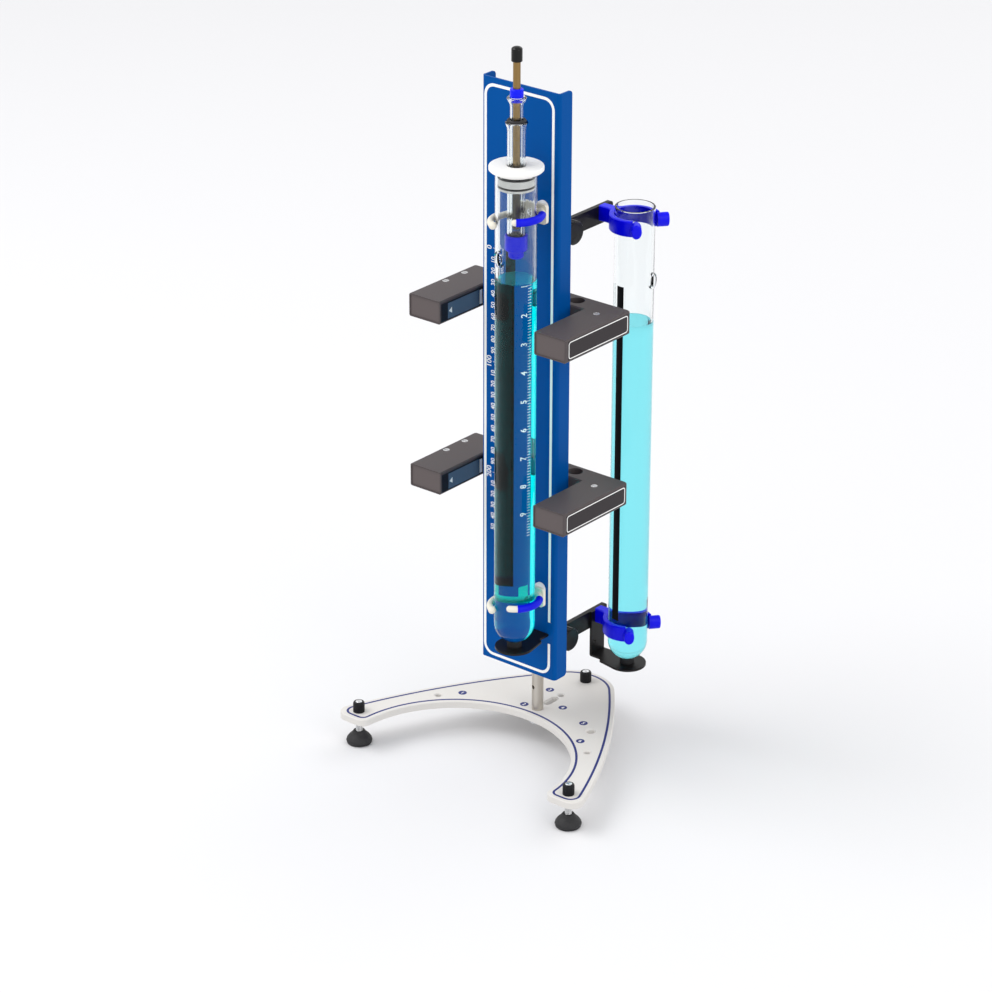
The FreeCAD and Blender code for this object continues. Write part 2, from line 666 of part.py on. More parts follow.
def make_rear_shelf():
    """Shelf on the lower rear arm, bent up against the arm."""
    flat = shelf_slab(0, 0, REAR_SHELF_TOP, REAR_X - ARM_FACE)
    leg = box(-SHELF_NECK_HALF, SHELF_NECK_HALF, REAR_X - ARM_FACE - SHELF_T, REAR_X - ARM_FACE,
              REAR_SHELF_TOP - SHELF_T, REAR_LEG_TOP)
    shelf = join([flat, leg])
    low = REAR_SHELF_TOP - SHELF_T
    outer = edges_at(shelf, lambda c, e: abs(c.y - (REAR_X - ARM_FACE)) < 0.01 and abs(c.z - low) < 0.01)
    shelf = shelf.makeFillet(SHELF_T - 0.1, outer)
    shelf = moved(turned(shelf, 90), REAR_X, REAR_Y)
    hole = rod_x(REAR_LEG_HOLE_R, REAR_Y + REAR_LEG_HOLE_DY, REAR_SHELF_TOP + REAR_LEG_HOLE_UP,
                 ARM_FACE - 1, ARM_FACE + SHELF_T + 1)
    screw = rod_x(REAR_SCREW_R + SNUG, REAR_Y, REAR_CLIP_ZS["lower"], ARM_FACE - 1, ARM_FACE + SHELF_T + 1)
    return shelf.cut([hole, screw])


def make_rest(x, y, shelf_top):
    """Dished rubber button under a tube."""
    rim = shelf_top + REST_H
    low = rim - REST_DISH_H
    inner = REST_SCREW_R + SNUG
    return spin([(inner, shelf_top), (REST_R, shelf_top), (REST_R, rim - 0.4), (REST_R - 0.3, rim),
                 (REST_DISH_R, rim), (REST_FLAT_R, low), (0, low), (0, shelf_top + REST_SCREW_IN),
                 (inner, shelf_top + REST_SCREW_IN)], x, y)


def rest_screw(x, y, shelf_top):
    """Short stud up into the rubber button with a nut under the shelf."""
    under = shelf_top - SHELF_T
    stud = rod_z(REST_SCREW_R, x, y, under - REST_NUT_H - 0.6, shelf_top + REST_SCREW_IN)
    nut = hexagon(REST_NUT_AF, x, y, under - REST_NUT_H, under)
    return join([stud, nut])


def arc_tube(path_r, wire_r, start, end, x, y, z):
    """Round wire bent about a tube axis, turns counted from -Y to +X."""
    piece = Part.makeTorus(path_r, wire_r, Vector(0, 0, 0), Vector(0, 0, 1), 0, 360, end - start)
    piece.rotate(Vector(0, 0, 0), Vector(0, 0, 1), start - 90.0)
    return moved(piece, x, y, z)


def on_path(path_r, turn, x, y):
    """Point on a circle, turns counted from -Y to +X."""
    t = math.radians(turn)
    return x + path_r * math.sin(t), y - path_r * math.cos(t)


def make_front_clip(z, tip_turn):
    """Moulded plate with two round arms that hug the tube, one a little above the other."""
    high = z + CLIP_STAGGER
    deep = z - CLIP_STAGGER
    back = CLIP_PLATE_FRONT + CLIP_PLATE_T
    plate = box(FRONT_X - CLIP_PLATE_HALF_W, FRONT_X + CLIP_PLATE_HALF_W, CLIP_PLATE_FRONT, back,
                z - CLIP_PLATE_HALF_H, z + CLIP_PLATE_HALF_H)
    corners = edges_at(plate, lambda c, e: e.BoundBox.YLength > 1 and e.BoundBox.XLength < 0.01
                       and e.BoundBox.ZLength < 0.01)
    plate = plate.makeFillet(CLIP_PLATE_ROUND, corners)
    right = arc_tube(CLIP_PATH_R, CLIP_WIRE_R, tip_turn, CLIP_ROOT_TURN, FRONT_X, FRONT_Y, high)
    left = arc_tube(CLIP_PATH_R, CLIP_WIRE_R, -CLIP_ROOT_TURN, -CLIP_BEAD_TURN, FRONT_X, FRONT_Y, deep)
    tip_x, tip_y = on_path(CLIP_PATH_R, tip_turn, FRONT_X, FRONT_Y)
    bead_x, bead_y = on_path(CLIP_PATH_R, -CLIP_BEAD_TURN, FRONT_X, FRONT_Y)
    tip = Part.makeSphere(CLIP_WIRE_R, Vector(tip_x, tip_y, high))
    bead = Part.makeSphere(CLIP_BEAD_R, Vector(bead_x, bead_y, deep))
    body = join([plate, right, left, tip, bead])
    shank = rod_y(CLIP_SCREW_R + SNUG, FRONT_X, z, CLIP_PLATE_FRONT - 1, back + 1)
    sink = Part.makeCone(CLIP_HEAD_R + SNUG, CLIP_SCREW_R + SNUG, CLIP_HEAD_H,
                         Vector(FRONT_X, CLIP_PLATE_FRONT, z), Vector(0, 1, 0))
    return body.cut([shank, sink])


def make_clip_sleeve(z, start):
    """Soft sleeve over the upper arm of the clip."""
    high = z + CLIP_STAGGER
    outer = arc_tube(CLIP_PATH_R, SLEEVE_R, start, SLEEVE_TO, FRONT_X, FRONT_Y, high)
    inner = arc_tube(CLIP_PATH_R, CLIP_WIRE_R + SNUG, start - 2, SLEEVE_TO + 2, FRONT_X, FRONT_Y, high)
    return outer.cut(inner)


def make_clip_spacers():
    """Spacers between the panel and the clip plates."""
    back = CLIP_PLATE_FRONT + CLIP_PLATE_T
    spacers = []
    for z in CLIP_ZS.values():
        spacer = rod_y(SPACER_R, FRONT_X, z, back, PANEL_FRONT)
        spacers.append(spacer.cut(rod_y(CLIP_SCREW_R + SNUG, FRONT_X, z, back - 1, PANEL_FRONT + 1)))
    return group(spacers)


def make_clip_screws():
    """Countersunk screws with nuts behind the panel, and the rest screw."""
    pieces = []
    for z in CLIP_ZS.values():
        head = Part.makeCone(CLIP_HEAD_R, CLIP_SCREW_R, CLIP_HEAD_H,
                             Vector(FRONT_X, CLIP_PLATE_FRONT, z), Vector(0, 1, 0))
        shank = rod_y(CLIP_SCREW_R, FRONT_X, z, CLIP_PLATE_FRONT + 0.5, PANEL_BACK + NUT4_H + 1)
        screw = join([head, shank])
        slot = box(FRONT_X - CLIP_HEAD_R, FRONT_X + CLIP_HEAD_R, CLIP_PLATE_FRONT - 1,
                   CLIP_PLATE_FRONT + 0.9, z - 0.5, z + 0.5)
        cross = box(FRONT_X - 0.5, FRONT_X + 0.5, CLIP_PLATE_FRONT - 1, CLIP_PLATE_FRONT + 0.9,
                    z - CLIP_HEAD_R, z + CLIP_HEAD_R)
        core = rod_y(CLIP_HEAD_R - 1.3, FRONT_X, z, CLIP_PLATE_FRONT - 2, CLIP_PLATE_FRONT + 2)
        screw = screw.cut(slot.fuse(cross).common(core))
        pieces.append(screw)
        pieces.append(nut_y(NUT4_AF, CLIP_SCREW_R + SNUG, FRONT_X, z, PANEL_BACK, PANEL_BACK + NUT4_H))
    pieces.append(rest_screw(FRONT_X, FRONT_Y, FRONT_SHELF_TOP))
    return group(pieces)


def make_gate_housing(top):
    """Yoke of a light gate: bridge, two arms, pockets and holes."""
    low = top - GATE_H
    mid = low + GATE_H / 2.0
    outline = [(GATE_X0, GATE_FRONT), (GATE_IN0, GATE_FRONT), (GATE_IN0, BRIDGE_FRONT),
               (GATE_IN1, BRIDGE_FRONT), (GATE_IN1, GATE_FRONT), (GATE_X1, GATE_FRONT),
               (GATE_X1, BRIDGE_BACK), (GATE_X0, BRIDGE_BACK)]
    yoke = slab(outline, low, top)
    corners = edges_at(yoke, lambda c, e: upright(e) and c.y > BRIDGE_BACK - 0.1)
    yoke = yoke.makeFillet(GATE_CORNER_R, corners)
    rims = edges_at(yoke, lambda c, e: abs(e.BoundBox.ZLength) < 0.01 and c.y > GATE_FRONT + 0.1)
    yoke = yoke.makeChamfer(GATE_EDGE_R, rims)
    cutters = []
    for x0, x1, side in ((GATE_X0, GATE_IN0, -1.0), (GATE_IN1, GATE_X1, 1.0)):
        cutters.append(box(x0 + END_LIP, x1 - END_LIP, GATE_FRONT - 1, GATE_FRONT + END_REBATE,
                           low + END_LIP, top - END_LIP))
        if side < 0:
            p0 = x1 - GATE_WALL - GATE_POCKET_W
            p1 = x1 - GATE_WALL
            face = x1
        else:
            p0 = x0 + GATE_WALL
            p1 = x0 + GATE_WALL + GATE_POCKET_W
            face = x0
        cutters.append(box(p0, p1, GATE_FRONT - 1, GATE_POCKET_BACK, low + GATE_WALL, top - GATE_WALL))
        cutters.append(rod_x(LENS_R + SNUG, BEAM_Y, mid, face - 3, face + 3))
    cutters.append(rod_z(ROD_R + RUN, 0, 0, low - 1, top + 1))
    for x in SPARE_HOLE_XS:
        cutters.append(rod_z(SPARE_HOLE_R, x, SPARE_HOLE_Y, low - 1, top + 1))
    cutters.append(rod_y(KNOB_SCREW_R + RUN, 0, mid, ROD_R - 1, BRIDGE_BACK + 1))
    cutters.append(rod_y(SOCKET_R + SNUG, SOCKET_X, mid, BRIDGE_BACK - SOCKET_LEN, BRIDGE_BACK + 1))
    for x, y in GATE_SCREWS:
        cutters.append(rod_z(SINK_SHANK_R + SNUG, x, y, top - SINK_HEAD_H - SINK_SHANK_LEN, top + 1))
        cutters.append(Part.makeCone(SINK_SHANK_R + SNUG, SINK_HEAD_R + SNUG, SINK_HEAD_H,
                                     Vector(x, y, top - SINK_HEAD_H), Vector(0, 0, 1)))
    return yoke.cut(cutters)


def make_gate_end_plates(top):
    """Plates that close the front ends of the two arms."""
    low = top - GATE_H
    front = GATE_FRONT + END_REBATE - END_PLATE_T
    plates = []
    for x0, x1 in ((GATE_X0, GATE_IN0), (GATE_IN1, GATE_X1)):
        plates.append(box(x0 + END_LIP + SNUG, x1 - END_LIP - SNUG, front, front + END_PLATE_T,
                          low + END_LIP + SNUG, top - END_LIP - SNUG))
    return group(plates)


def make_gate_lenses(top):
    """Light source and sensor windows facing each other across the tube."""
    mid = top - GATE_H / 2.0
    left = rod_x(LENS_R, BEAM_Y, mid, GATE_IN0 - LENS_SUNK - LENS_LEN, GATE_IN0 - LENS_SUNK)
    right = rod_x(LENS_R, BEAM_Y, mid, GATE_IN1 + LENS_SUNK, GATE_IN1 + LENS_SUNK + LENS_LEN)
    return group([left, right])


def make_gate_screws(top):
    """Countersunk screws in the top of the housing."""
    screws = []
    for x, y in GATE_SCREWS:
        head = Part.makeCone(SINK_SHANK_R, SINK_HEAD_R, SINK_HEAD_H,
                             Vector(x, y, top - SINK_HEAD_H), Vector(0, 0, 1))
        shank = rod_z(SINK_SHANK_R, x, y, top - SINK_HEAD_H - SINK_SHANK_LEN, top - SINK_HEAD_H + 0.3)
        slot = box(x - SINK_HEAD_R, x + SINK_HEAD_R, y - SINK_SLOT_W / 2.0, y + SINK_SLOT_W / 2.0,
                   top - 0.7, top + 1)
        screws.append(join([head, shank]).cut(slot))
    return group(screws)


def make_gate_socket(top):
    """Round connector in the back of the bridge."""
    mid = top - GATE_H / 2.0
    barrel = rod_y(SOCKET_R, SOCKET_X, mid, BRIDGE_BACK - SOCKET_LEN, BRIDGE_BACK + SOCKET_COLLAR_T)
    collar = rod_y(SOCKET_COLLAR_R, SOCKET_X, mid, BRIDGE_BACK, BRIDGE_BACK + SOCKET_COLLAR_T)
    end = BRIDGE_BACK + SOCKET_COLLAR_T
    bore = rod_y(SOCKET_BORE_R, SOCKET_X, mid, end - SOCKET_BORE_LEN, end + 1)
    return join([barrel, collar]).cut(bore)


def knob_z(screw_len):
    """Fluted knob along Z with its hub on Z = 0 and its screw below."""
    top = KNOB_HUB_LEN + KNOB_T
    head = spin([(0, 0), (KNOB_HUB_R, 0), (KNOB_HUB_R, KNOB_HUB_LEN), (KNOB_R - 0.8, KNOB_HUB_LEN),
                 (KNOB_R, KNOB_HUB_LEN + 0.8), (KNOB_R, top - 1.2), (KNOB_R - 1.2, top), (0, top)])
    cutters = []
    for k in range(KNOB_FLUTES):
        t = 2.0 * math.pi * k / KNOB_FLUTES
        reach = KNOB_R + KNOB_FLUTE_R * 0.55
        cutters.append(rod_z(KNOB_FLUTE_R, reach * math.cos(t), reach * math.sin(t),
                             KNOB_HUB_LEN - 1, top + 1))
    head = head.cut(cutters)
    return head.fuse(rod_z(KNOB_SCREW_R, 0, 0, -screw_len, 1.0)).removeSplitter()


def make_gate_knob(top):
    """Knob behind the bridge whose screw reaches the rod."""
    mid = top - GATE_H / 2.0
    reach = BRIDGE_BACK + KNOB_GAP - ROD_R - KNOB_GAP
    knob = knob_z(reach)
    knob.rotate(Vector(0, 0, 0), Vector(1, 0, 0), -90)
    return moved(knob, 0, BRIDGE_BACK + KNOB_GAP, mid)


def make_arm_knob(low):
    """Knob that draws the two leaves of a rear arm together."""
    knob = knob_z(ARM_KNOB_SCREW_LEN)
    knob.rotate(Vector(0, 0, 0), Vector(0, 1, 0), 90)
    return moved(knob, ARM_FACE + KNOB_GAP, ARM_KNOB_Y, low + ARM_H / 2.0)


def make_rear_arm(low, clip_z):
    """Flat bar bent round the rod with a short return leaf."""
    top = low + ARM_H
    leaf = box(ARM_IN, ARM_FACE, 0, ARM_END_Y, low, top)
    ends = edges_at(leaf, lambda c, e: abs(c.y - ARM_END_Y) < 0.01 and e.BoundBox.XLength > 1)
    leaf = leaf.makeFillet(ARM_END_ROUND, ends)
    back = box(-ARM_FACE, -ARM_IN, 0, ARM_RETURN_Y, low, top)
    ends = edges_at(back, lambda c, e: abs(c.y - ARM_RETURN_Y) < 0.01 and e.BoundBox.XLength > 1)
    back = back.makeFillet(ARM_END_ROUND, ends)
    loop = rod_z(ARM_FACE, 0, 0, low, top).cut(rod_z(ARM_IN, 0, 0, low - 1, top + 1))
    loop = loop.cut(box(-ARM_FACE - 1, ARM_FACE + 1, 0, ARM_FACE + 1, low - 1, top + 1))
    arm = join([leaf, back, loop])
    mid = low + ARM_H / 2.0
    draw = rod_x(KNOB_SCREW_R + RUN, ARM_KNOB_Y, mid, -ARM_FACE - 1, ARM_FACE + 1)
    hold = rod_x(REAR_SCREW_R + SNUG, REAR_Y, clip_z, ARM_IN - 1, ARM_FACE + 1)
    return arm.cut([draw, hold])


def make_rear_clip(z, foot):
    """Coated spring strip: neck on the arm, two hugging arms with thick oval ends."""
    low = z - REAR_CLIP_HALF_H
    top = z + REAR_CLIP_HALF_H
    inner = TUBE_R + CLEAR
    outer = inner + REAR_CLIP_T
    ring = rod_z(outer, REAR_X, REAR_Y, low, top)
    neck = box(foot, REAR_X - inner - 1.5, REAR_Y - REAR_CLIP_NECK_HALF, REAR_Y + REAR_CLIP_NECK_HALF,
               low, top)
    body = join([ring, neck])
    roots = edges_at(body, lambda c, e: upright(e) and abs(c.x - foot) > 1
                     and abs(abs(c.y - REAR_Y) - REAR_CLIP_NECK_HALF) < 0.01)
    body = body.makeFillet(REAR_CLIP_ROOT_R, roots)
    rims = edges_at(body, lambda c, e: e.BoundBox.ZLength < 0.01 and abs(c.x - foot) > 0.1)
    body = body.makeFillet(REAR_CLIP_EDGE, rims)
    half = math.radians(REAR_CLIP_MOUTH)
    far = 60.0
    mouth = slab([(REAR_X, REAR_Y), (REAR_X + far * math.cos(half), REAR_Y - far * math.sin(half)),
                  (REAR_X + far * 1.5, REAR_Y),
                  (REAR_X + far * math.cos(half), REAR_Y + far * math.sin(half))], low - 1, top + 1)
    body = body.cut([rod_z(inner, REAR_X, REAR_Y, low - 1, top + 1), mouth])
    end = oval_bar(END_HALF_W, END_HALF_H, END_NEAR, END_FAR)
    rim = edges_at(end, lambda c, e: e.BoundBox.YLength < 0.01 and abs(c.y + END_FAR) < 0.01)
    end = end.makeFillet(END_ROUND, rim)
    ends = [moved(turned(end, 90.0 + side * END_TURN), REAR_X, REAR_Y, z) for side in (-1.0, 1.0)]
    hole = rod_x(REAR_SCREW_R + SNUG, REAR_Y, z, foot - 1, foot + REAR_SCREW_IN)
    return join([body] + ends).cut(hole)


def make_rear_screws():
    """Screws that hold the rear clips on the arms, and the rest screw."""
    pieces = []
    feet = {"upper": ARM_FACE, "lower": ARM_FACE + SHELF_T}
    for name, z in REAR_CLIP_ZS.items():
        head = rod_x(REAR_HEAD_R, REAR_Y, z, ARM_IN - REAR_HEAD_H, ARM_IN)
        rims = edges_at(head, lambda c, e: abs(c.x - (ARM_IN - REAR_HEAD_H)) < 0.01)
        head = head.makeChamfer(0.7, rims)
        shank = rod_x(REAR_SCREW_R, REAR_Y, z, ARM_IN - 0.5, feet[name] + REAR_SCREW_IN - 0.5)
        slot = box(ARM_IN - REAR_HEAD_H - 1, ARM_IN - REAR_HEAD_H + 0.8, REAR_Y - REAR_HEAD_R,
                   REAR_Y + REAR_HEAD_R, z - 0.4, z + 0.4)
        pieces.append(join([head, shank]).cut(slot))
    pieces.append(rest_screw(REAR_X, REAR_Y, REAR_SHELF_TOP))
    return group(pieces)


def oval_bar(half_w, half_h, near, far):
    """Bar of oval section along -Y."""
    if half_h > half_w:
        oval = Part.Ellipse(Vector(0, 0, half_h), Vector(half_w, 0, 0), Vector(0, 0, 0))
    edge = oval.toShape()
    edge.translate(Vector(0, -near, 0))
    return Part.Face(Part.Wire([edge])).extrude(Vector(0, -(far - near), 0))


def make_tube(x, y, low, port_drop, port_turn):
    """Round-bottomed glass tube with a lipped side port."""
    top = low + TUBE_LEN
    out_r = TUBE_R
    in_r = TUBE_BORE_R
    half = math.sqrt(0.5)
    base = low + out_r
    edges = [bend((0, low), (out_r * half, base - out_r * half), (out_r, base)),
             line((out_r, base), (out_r, top - 0.4)),
             line((out_r, top - 0.4), (out_r - 0.3, top)),
             line((out_r - 0.3, top), (in_r, top)),
             line((in_r, top), (in_r, base)),
             bend((in_r, base), (in_r * half, base - in_r * half), (0, base - in_r)),
             line((0, base - in_r), (0, low))]
    tube = spin_edges(edges)
    z = top - port_drop
    lip = oval_bar(PORT_HALF_W + PORT_LIP, PORT_HALF_H + PORT_LIP, in_r + 0.4, out_r + PORT_STAND)
    hole = oval_bar(PORT_HALF_W, PORT_HALF_H, in_r - 3.0, out_r + PORT_STAND + 1)
    tube = join([tube, moved(lip, 0, 0, z)]).cut(moved(hole, 0, 0, z))
    return moved(turned(tube, port_turn), x, y)


def make_strip(x, y, width, z0, z1, turn):
    """Thin strip that follows the outside of a tube."""
    half = math.degrees(width / 2.0 / TUBE_R)
    shell = Part.makeCylinder(TUBE_R + SNUG + STRIP_T, z1 - z0, Vector(0, 0, z0), Vector(0, 0, 1), 2 * half)
    core = Part.makeCylinder(TUBE_R + SNUG, z1 - z0 + 2, Vector(0, 0, z0 - 1), Vector(0, 0, 1))
    strip = shell.cut(core)
    return moved(turned(strip, turn - 90.0 - half), x, y)


def make_stopper():
    """Flanged plug with a bore for the guide tube and two grooves for seals."""
    rim = FRONT_TUBE_TOP
    seat = rim + STEP_H
    top = seat + STOPPER_T
    bore = GUIDE_R + SNUG
    low = rim - PLUG_LOW_DROP
    outline = [(bore, low), (PLUG_R - 0.5, low), (PLUG_R, low + 0.5)]
    for drop, wire in zip(SEAL_DROPS, SEAL_WIRES):
        groove_r = TUBE_BORE_R - RUN - 2.0 * wire
        g0 = rim - drop - wire - LIFT
        g1 = rim - drop + wire + LIFT
        outline += [(PLUG_R, g0), (groove_r, g0), (groove_r, g1), (PLUG_R, g1)]
    outline += [(PLUG_R, rim + LIFT), (STEP_R, rim + LIFT), (STEP_R, seat), (STOPPER_R - STOPPER_EDGE, seat),
                (STOPPER_R, seat + STOPPER_EDGE), (STOPPER_R, top - STOPPER_EDGE),
                (STOPPER_R - STOPPER_EDGE * 0.35, top - STOPPER_EDGE * 0.35),
                (STOPPER_R - STOPPER_EDGE, top), (bore + 0.5, top), (bore, top - 0.5)]
    return spin(outline, FRONT_X, FRONT_Y)


def make_stopper_seals():
    """Two sealing rings in the grooves of the plug."""
    rings = []
    for drop, wire in zip(SEAL_DROPS, SEAL_WIRES):
        centre = Vector(FRONT_X, FRONT_Y, FRONT_TUBE_TOP - drop)
        rings.append(Part.makeTorus(TUBE_BORE_R - RUN - wire, wire, centre))
    return group(rings)


def make_guide_tube():
    """Outer glass tube of the release device with a flared mouth."""
    low = COLLAR_LOW + COLLAR_FLOOR
    top = GUIDE_TOP
    flare = top - GUIDE_FLARE_H
    return spin([(GUIDE_BORE_R, low), (GUIDE_R, low), (GUIDE_R, flare - 0.4), (GUIDE_R + 0.5, flare + 1.9),
                 (GUIDE_LIP_R - 0.2, top - 1.3), (GUIDE_LIP_R, top - 0.6), (GUIDE_LIP_R - 0.4, top),
                 (RING_R + SNUG, top), (RING_R + SNUG, RING_LOW), (GUIDE_BORE_R + 0.4, flare + 1.8),
                 (GUIDE_BORE_R, flare)], FRONT_X, FRONT_Y)


def make_guide_collar():
    """Collar on the lower end of the guide tube."""
    return spin([(GUIDE_BORE_R + RUN, COLLAR_LOW), (COLLAR_R - 0.5, COLLAR_LOW), (COLLAR_R, COLLAR_LOW + 0.5),
                 (COLLAR_R, COLLAR_TOP - 0.5), (COLLAR_R - 0.5, COLLAR_TOP), (GUIDE_R + SNUG, COLLAR_TOP),
                 (GUIDE_R + SNUG, COLLAR_LOW + COLLAR_FLOOR), (GUIDE_BORE_R + RUN, COLLAR_LOW + COLLAR_FLOOR)],
                FRONT_X, FRONT_Y)


def make_guide_ring():
    """Soft ring in the flared mouth round the drop tube."""
    inner = DROP_R + RUN
    return spin([(inner, RING_LOW), (RING_R, RING_LOW), (RING_R, RING_TOP - 0.8), (RING_R - 0.8, RING_TOP),
                 (inner, RING_TOP)], FRONT_X, FRONT_Y)


def make_drop_tube():
    """Inner glass tube with a flared mouth."""
    flare = DROP_TOP - DROP_FLARE_H
    return spin([(DROP_BORE_R, TIP_SEAT), (DROP_R, TIP_SEAT), (DROP_R, flare - 0.6), (DROP_R + 0.5, flare + 1.4),
                 (DROP_LIP_R - 0.3, DROP_TOP - 2.0), (DROP_LIP_R, DROP_TOP - 0.9), (DROP_LIP_R - 0.5, DROP_TOP),
                 (BUSH_R + SNUG, DROP_TOP), (BUSH_R + SNUG, BUSH_LOW), (DROP_BORE_R, flare)], FRONT_X, FRONT_Y)


def make_drop_bush():
    """Bush in the mouth of the drop tube that guides the plunger."""
    inner = PLUNGER_R + RUN
    stem = DROP_BORE_R - SNUG
    return spin([(inner, BUSH_STEM_LOW), (stem, BUSH_STEM_LOW), (stem, BUSH_LOW), (BUSH_R, BUSH_LOW),
                 (BUSH_R, BUSH_TOP - 0.6), (BUSH_R - 0.6, BUSH_TOP), (inner, BUSH_TOP)], FRONT_X, FRONT_Y)


def make_drop_tip():
    """Soft tip that holds the ball under the drop tube."""
    inner = BALL_R + RUN
    return spin([(inner, TIP_LOW), (TIP_R - 0.8, TIP_LOW), (TIP_R, TIP_LOW + 1.2), (TIP_R, TIP_TOP),
                 (DROP_R + SNUG, TIP_TOP), (DROP_R + SNUG, TIP_SEAT), (inner, TIP_SEAT)], FRONT_X, FRONT_Y)


def make_plunger_rod():
    """Thin rod that pushes the ball out of the tip."""
    return spin([(0, PLUNGER_LOW), (PLUNGER_R - 0.3, PLUNGER_LOW), (PLUNGER_R, PLUNGER_LOW + 0.3),
                 (PLUNGER_R, CAP_FLOOR), (0, CAP_FLOOR)], FRONT_X, FRONT_Y)


def make_rod_cap():
    """Domed cap on the plunger rod."""
    inner = PLUNGER_R + SNUG
    rise = CAP_TOP - CAP_SHOULDER
    turns = [math.radians(15.0 * k) for k in range(1, 6)]
    dome = [(CAP_R * math.cos(t), CAP_SHOULDER + rise * math.sin(t)) for t in turns]
    return spin([(inner, CAP_LOW), (CAP_R - 0.4, CAP_LOW), (CAP_R, CAP_LOW + 0.4), (CAP_R, CAP_SHOULDER)]
                + dome + [(0, CAP_TOP), (0, CAP_FLOOR), (inner, CAP_FLOOR)], FRONT_X, FRONT_Y)


def main():
    """Build and write every piece."""
    os.makedirs("parts", exist_ok=True)
    save("base_plate", make_base_plate())
    save("support_rod", make_support_rod())
    save("rod_nut", nut_z(ROD_NUT_AF, ROD_STUB_R + SNUG, 0, 0, PLATE_LOW - ROD_NUT_H, PLATE_LOW))
    for name, place in zip(("left", "right", "rear"), foot_places()):
        save("foot_%s_stud" % name, make_foot_stud(*place))
        save("foot_%s_knob" % name, make_foot_knob(*place))
        save("foot_%s_rubber" % name, make_foot_pad(*place))
    save("panel", make_panel())
    save("panel_clamps", group([make_panel_clamp(z) for z in CLAMP_ZS]))
    save("panel_nuts", make_panel_nuts())
    save("clamp_screws", make_clamp_screws())
    for name, z in CLIP_ZS.items():
        save("front_clip_%s" % name, make_front_clip(z, CLIP_TIP_TURN[name]))
        save("clip_sleeve_%s" % name, make_clip_sleeve(z, SLEEVE_FROM[name]))
    save("clip_spacers", make_clip_spacers())
    save("clip_screws", make_clip_screws())
    save("front_shelf", make_front_shelf())
    save("front_rest", make_rest(FRONT_X, FRONT_Y, FRONT_SHELF_TOP))
    for name, top in GATE_TOPS.items():
        save("gate_%s_housing" % name, make_gate_housing(top))
        save("gate_%s_end_plates" % name, make_gate_end_plates(top))
        save("gate_%s_lenses" % name, make_gate_lenses(top))
        save("gate_%s_screws" % name, make_gate_screws(top))
        save("gate_%s_socket" % name, make_gate_socket(top))
        save("gate_%s_knob" % name, make_gate_knob(top))
    feet = {"upper": ARM_FACE, "lower": ARM_FACE + SHELF_T}
    for name, low in ARM_LOWS.items():
        save("rear_arm_%s" % name, make_rear_arm(low, REAR_CLIP_ZS[name]))
        save("arm_knob_%s" % name, make_arm_knob(low))
        save("rear_clip_%s" % name, make_rear_clip(REAR_CLIP_ZS[name], feet[name]))
    save("rear_screws", make_rear_screws())
    save("rear_shelf", make_rear_shelf())
    save("rear_rest", make_rest(REAR_X, REAR_Y, REAR_SHELF_TOP))
    save("front_tube", make_tube(FRONT_X, FRONT_Y, FRONT_TUBE_LOW, FRONT_PORT_DROP, FRONT_PORT_TURN))
    save("front_strip", make_strip(FRONT_X, FRONT_Y, FRONT_STRIP_W, FRONT_STRIP_LOW, FRONT_STRIP_TOP,
                                   FRONT_STRIP_TURN))
    save("rear_tube", make_tube(REAR_X, REAR_Y, REAR_TUBE_LOW, REAR_PORT_DROP, REAR_PORT_TURN))
    save("rear_strip", make_strip(REAR_X, REAR_Y, REAR_STRIP_W, REAR_STRIP_LOW, REAR_STRIP_TOP,
                                  REAR_STRIP_TURN))
    save("stopper", make_stopper())
    save("stopper_seals", make_stopper_seals())
    save("guide_tube", make_guide_tube())
    save("guide_collar", make_guide_collar())
    save("guide_ring", make_guide_ring())
    save("drop_tube", make_drop_tube())
    save("drop_bush", make_drop_bush())
    save("drop_tip", make_drop_tip())
    save("plunger_rod", make_plunger_rod())
    save("rod_cap", make_rod_cap())
    save("ball", Part.makeSphere(BALL_R, Vector(FRONT_X, FRONT_Y, BALL_Z)))


main()
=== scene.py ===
"""Looks of a falling ball viscometer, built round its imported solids.

Lengths are named in millimetres and turned to metres by MM. X runs to the right
of the scale panel, Y away from the reader and Z up. The support rod's axis is
the zero of all places along X and Y.
"""

import math

import bpy
import numpy as np
from bpy.props import FloatProperty, FloatVectorProperty, PointerProperty
from mathutils import Matrix, Vector


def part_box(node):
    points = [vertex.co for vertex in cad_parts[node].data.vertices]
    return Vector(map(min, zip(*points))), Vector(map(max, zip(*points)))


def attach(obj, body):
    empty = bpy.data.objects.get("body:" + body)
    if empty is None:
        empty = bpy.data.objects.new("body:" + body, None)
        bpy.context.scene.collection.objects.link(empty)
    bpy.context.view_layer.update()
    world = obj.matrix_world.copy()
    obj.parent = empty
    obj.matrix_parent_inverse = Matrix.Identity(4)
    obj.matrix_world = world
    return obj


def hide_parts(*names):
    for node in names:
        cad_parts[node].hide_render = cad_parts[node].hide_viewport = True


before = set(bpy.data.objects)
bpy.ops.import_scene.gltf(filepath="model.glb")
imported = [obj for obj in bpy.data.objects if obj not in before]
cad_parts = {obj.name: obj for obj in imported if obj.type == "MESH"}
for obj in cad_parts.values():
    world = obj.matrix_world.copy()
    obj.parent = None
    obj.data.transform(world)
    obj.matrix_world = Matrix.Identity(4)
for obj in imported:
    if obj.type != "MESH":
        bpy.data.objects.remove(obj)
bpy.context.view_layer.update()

bl_info = {
    "name": "Falling ball viscometer looks",
    "version": (1, 0, 0),
    "blender": (4, 5, 0),
    "location": "View3D > Sidebar > Viscometer",
    "description": "Finishes, print, liquids, stage and camera for a falling ball viscometer",
    "category": "Object",
}

MM = 0.001


def centre_of(node):
    """Middle of a solid's box in millimetres."""
    low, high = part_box(node)
    return np.array((low + high) / 2.0) / MM


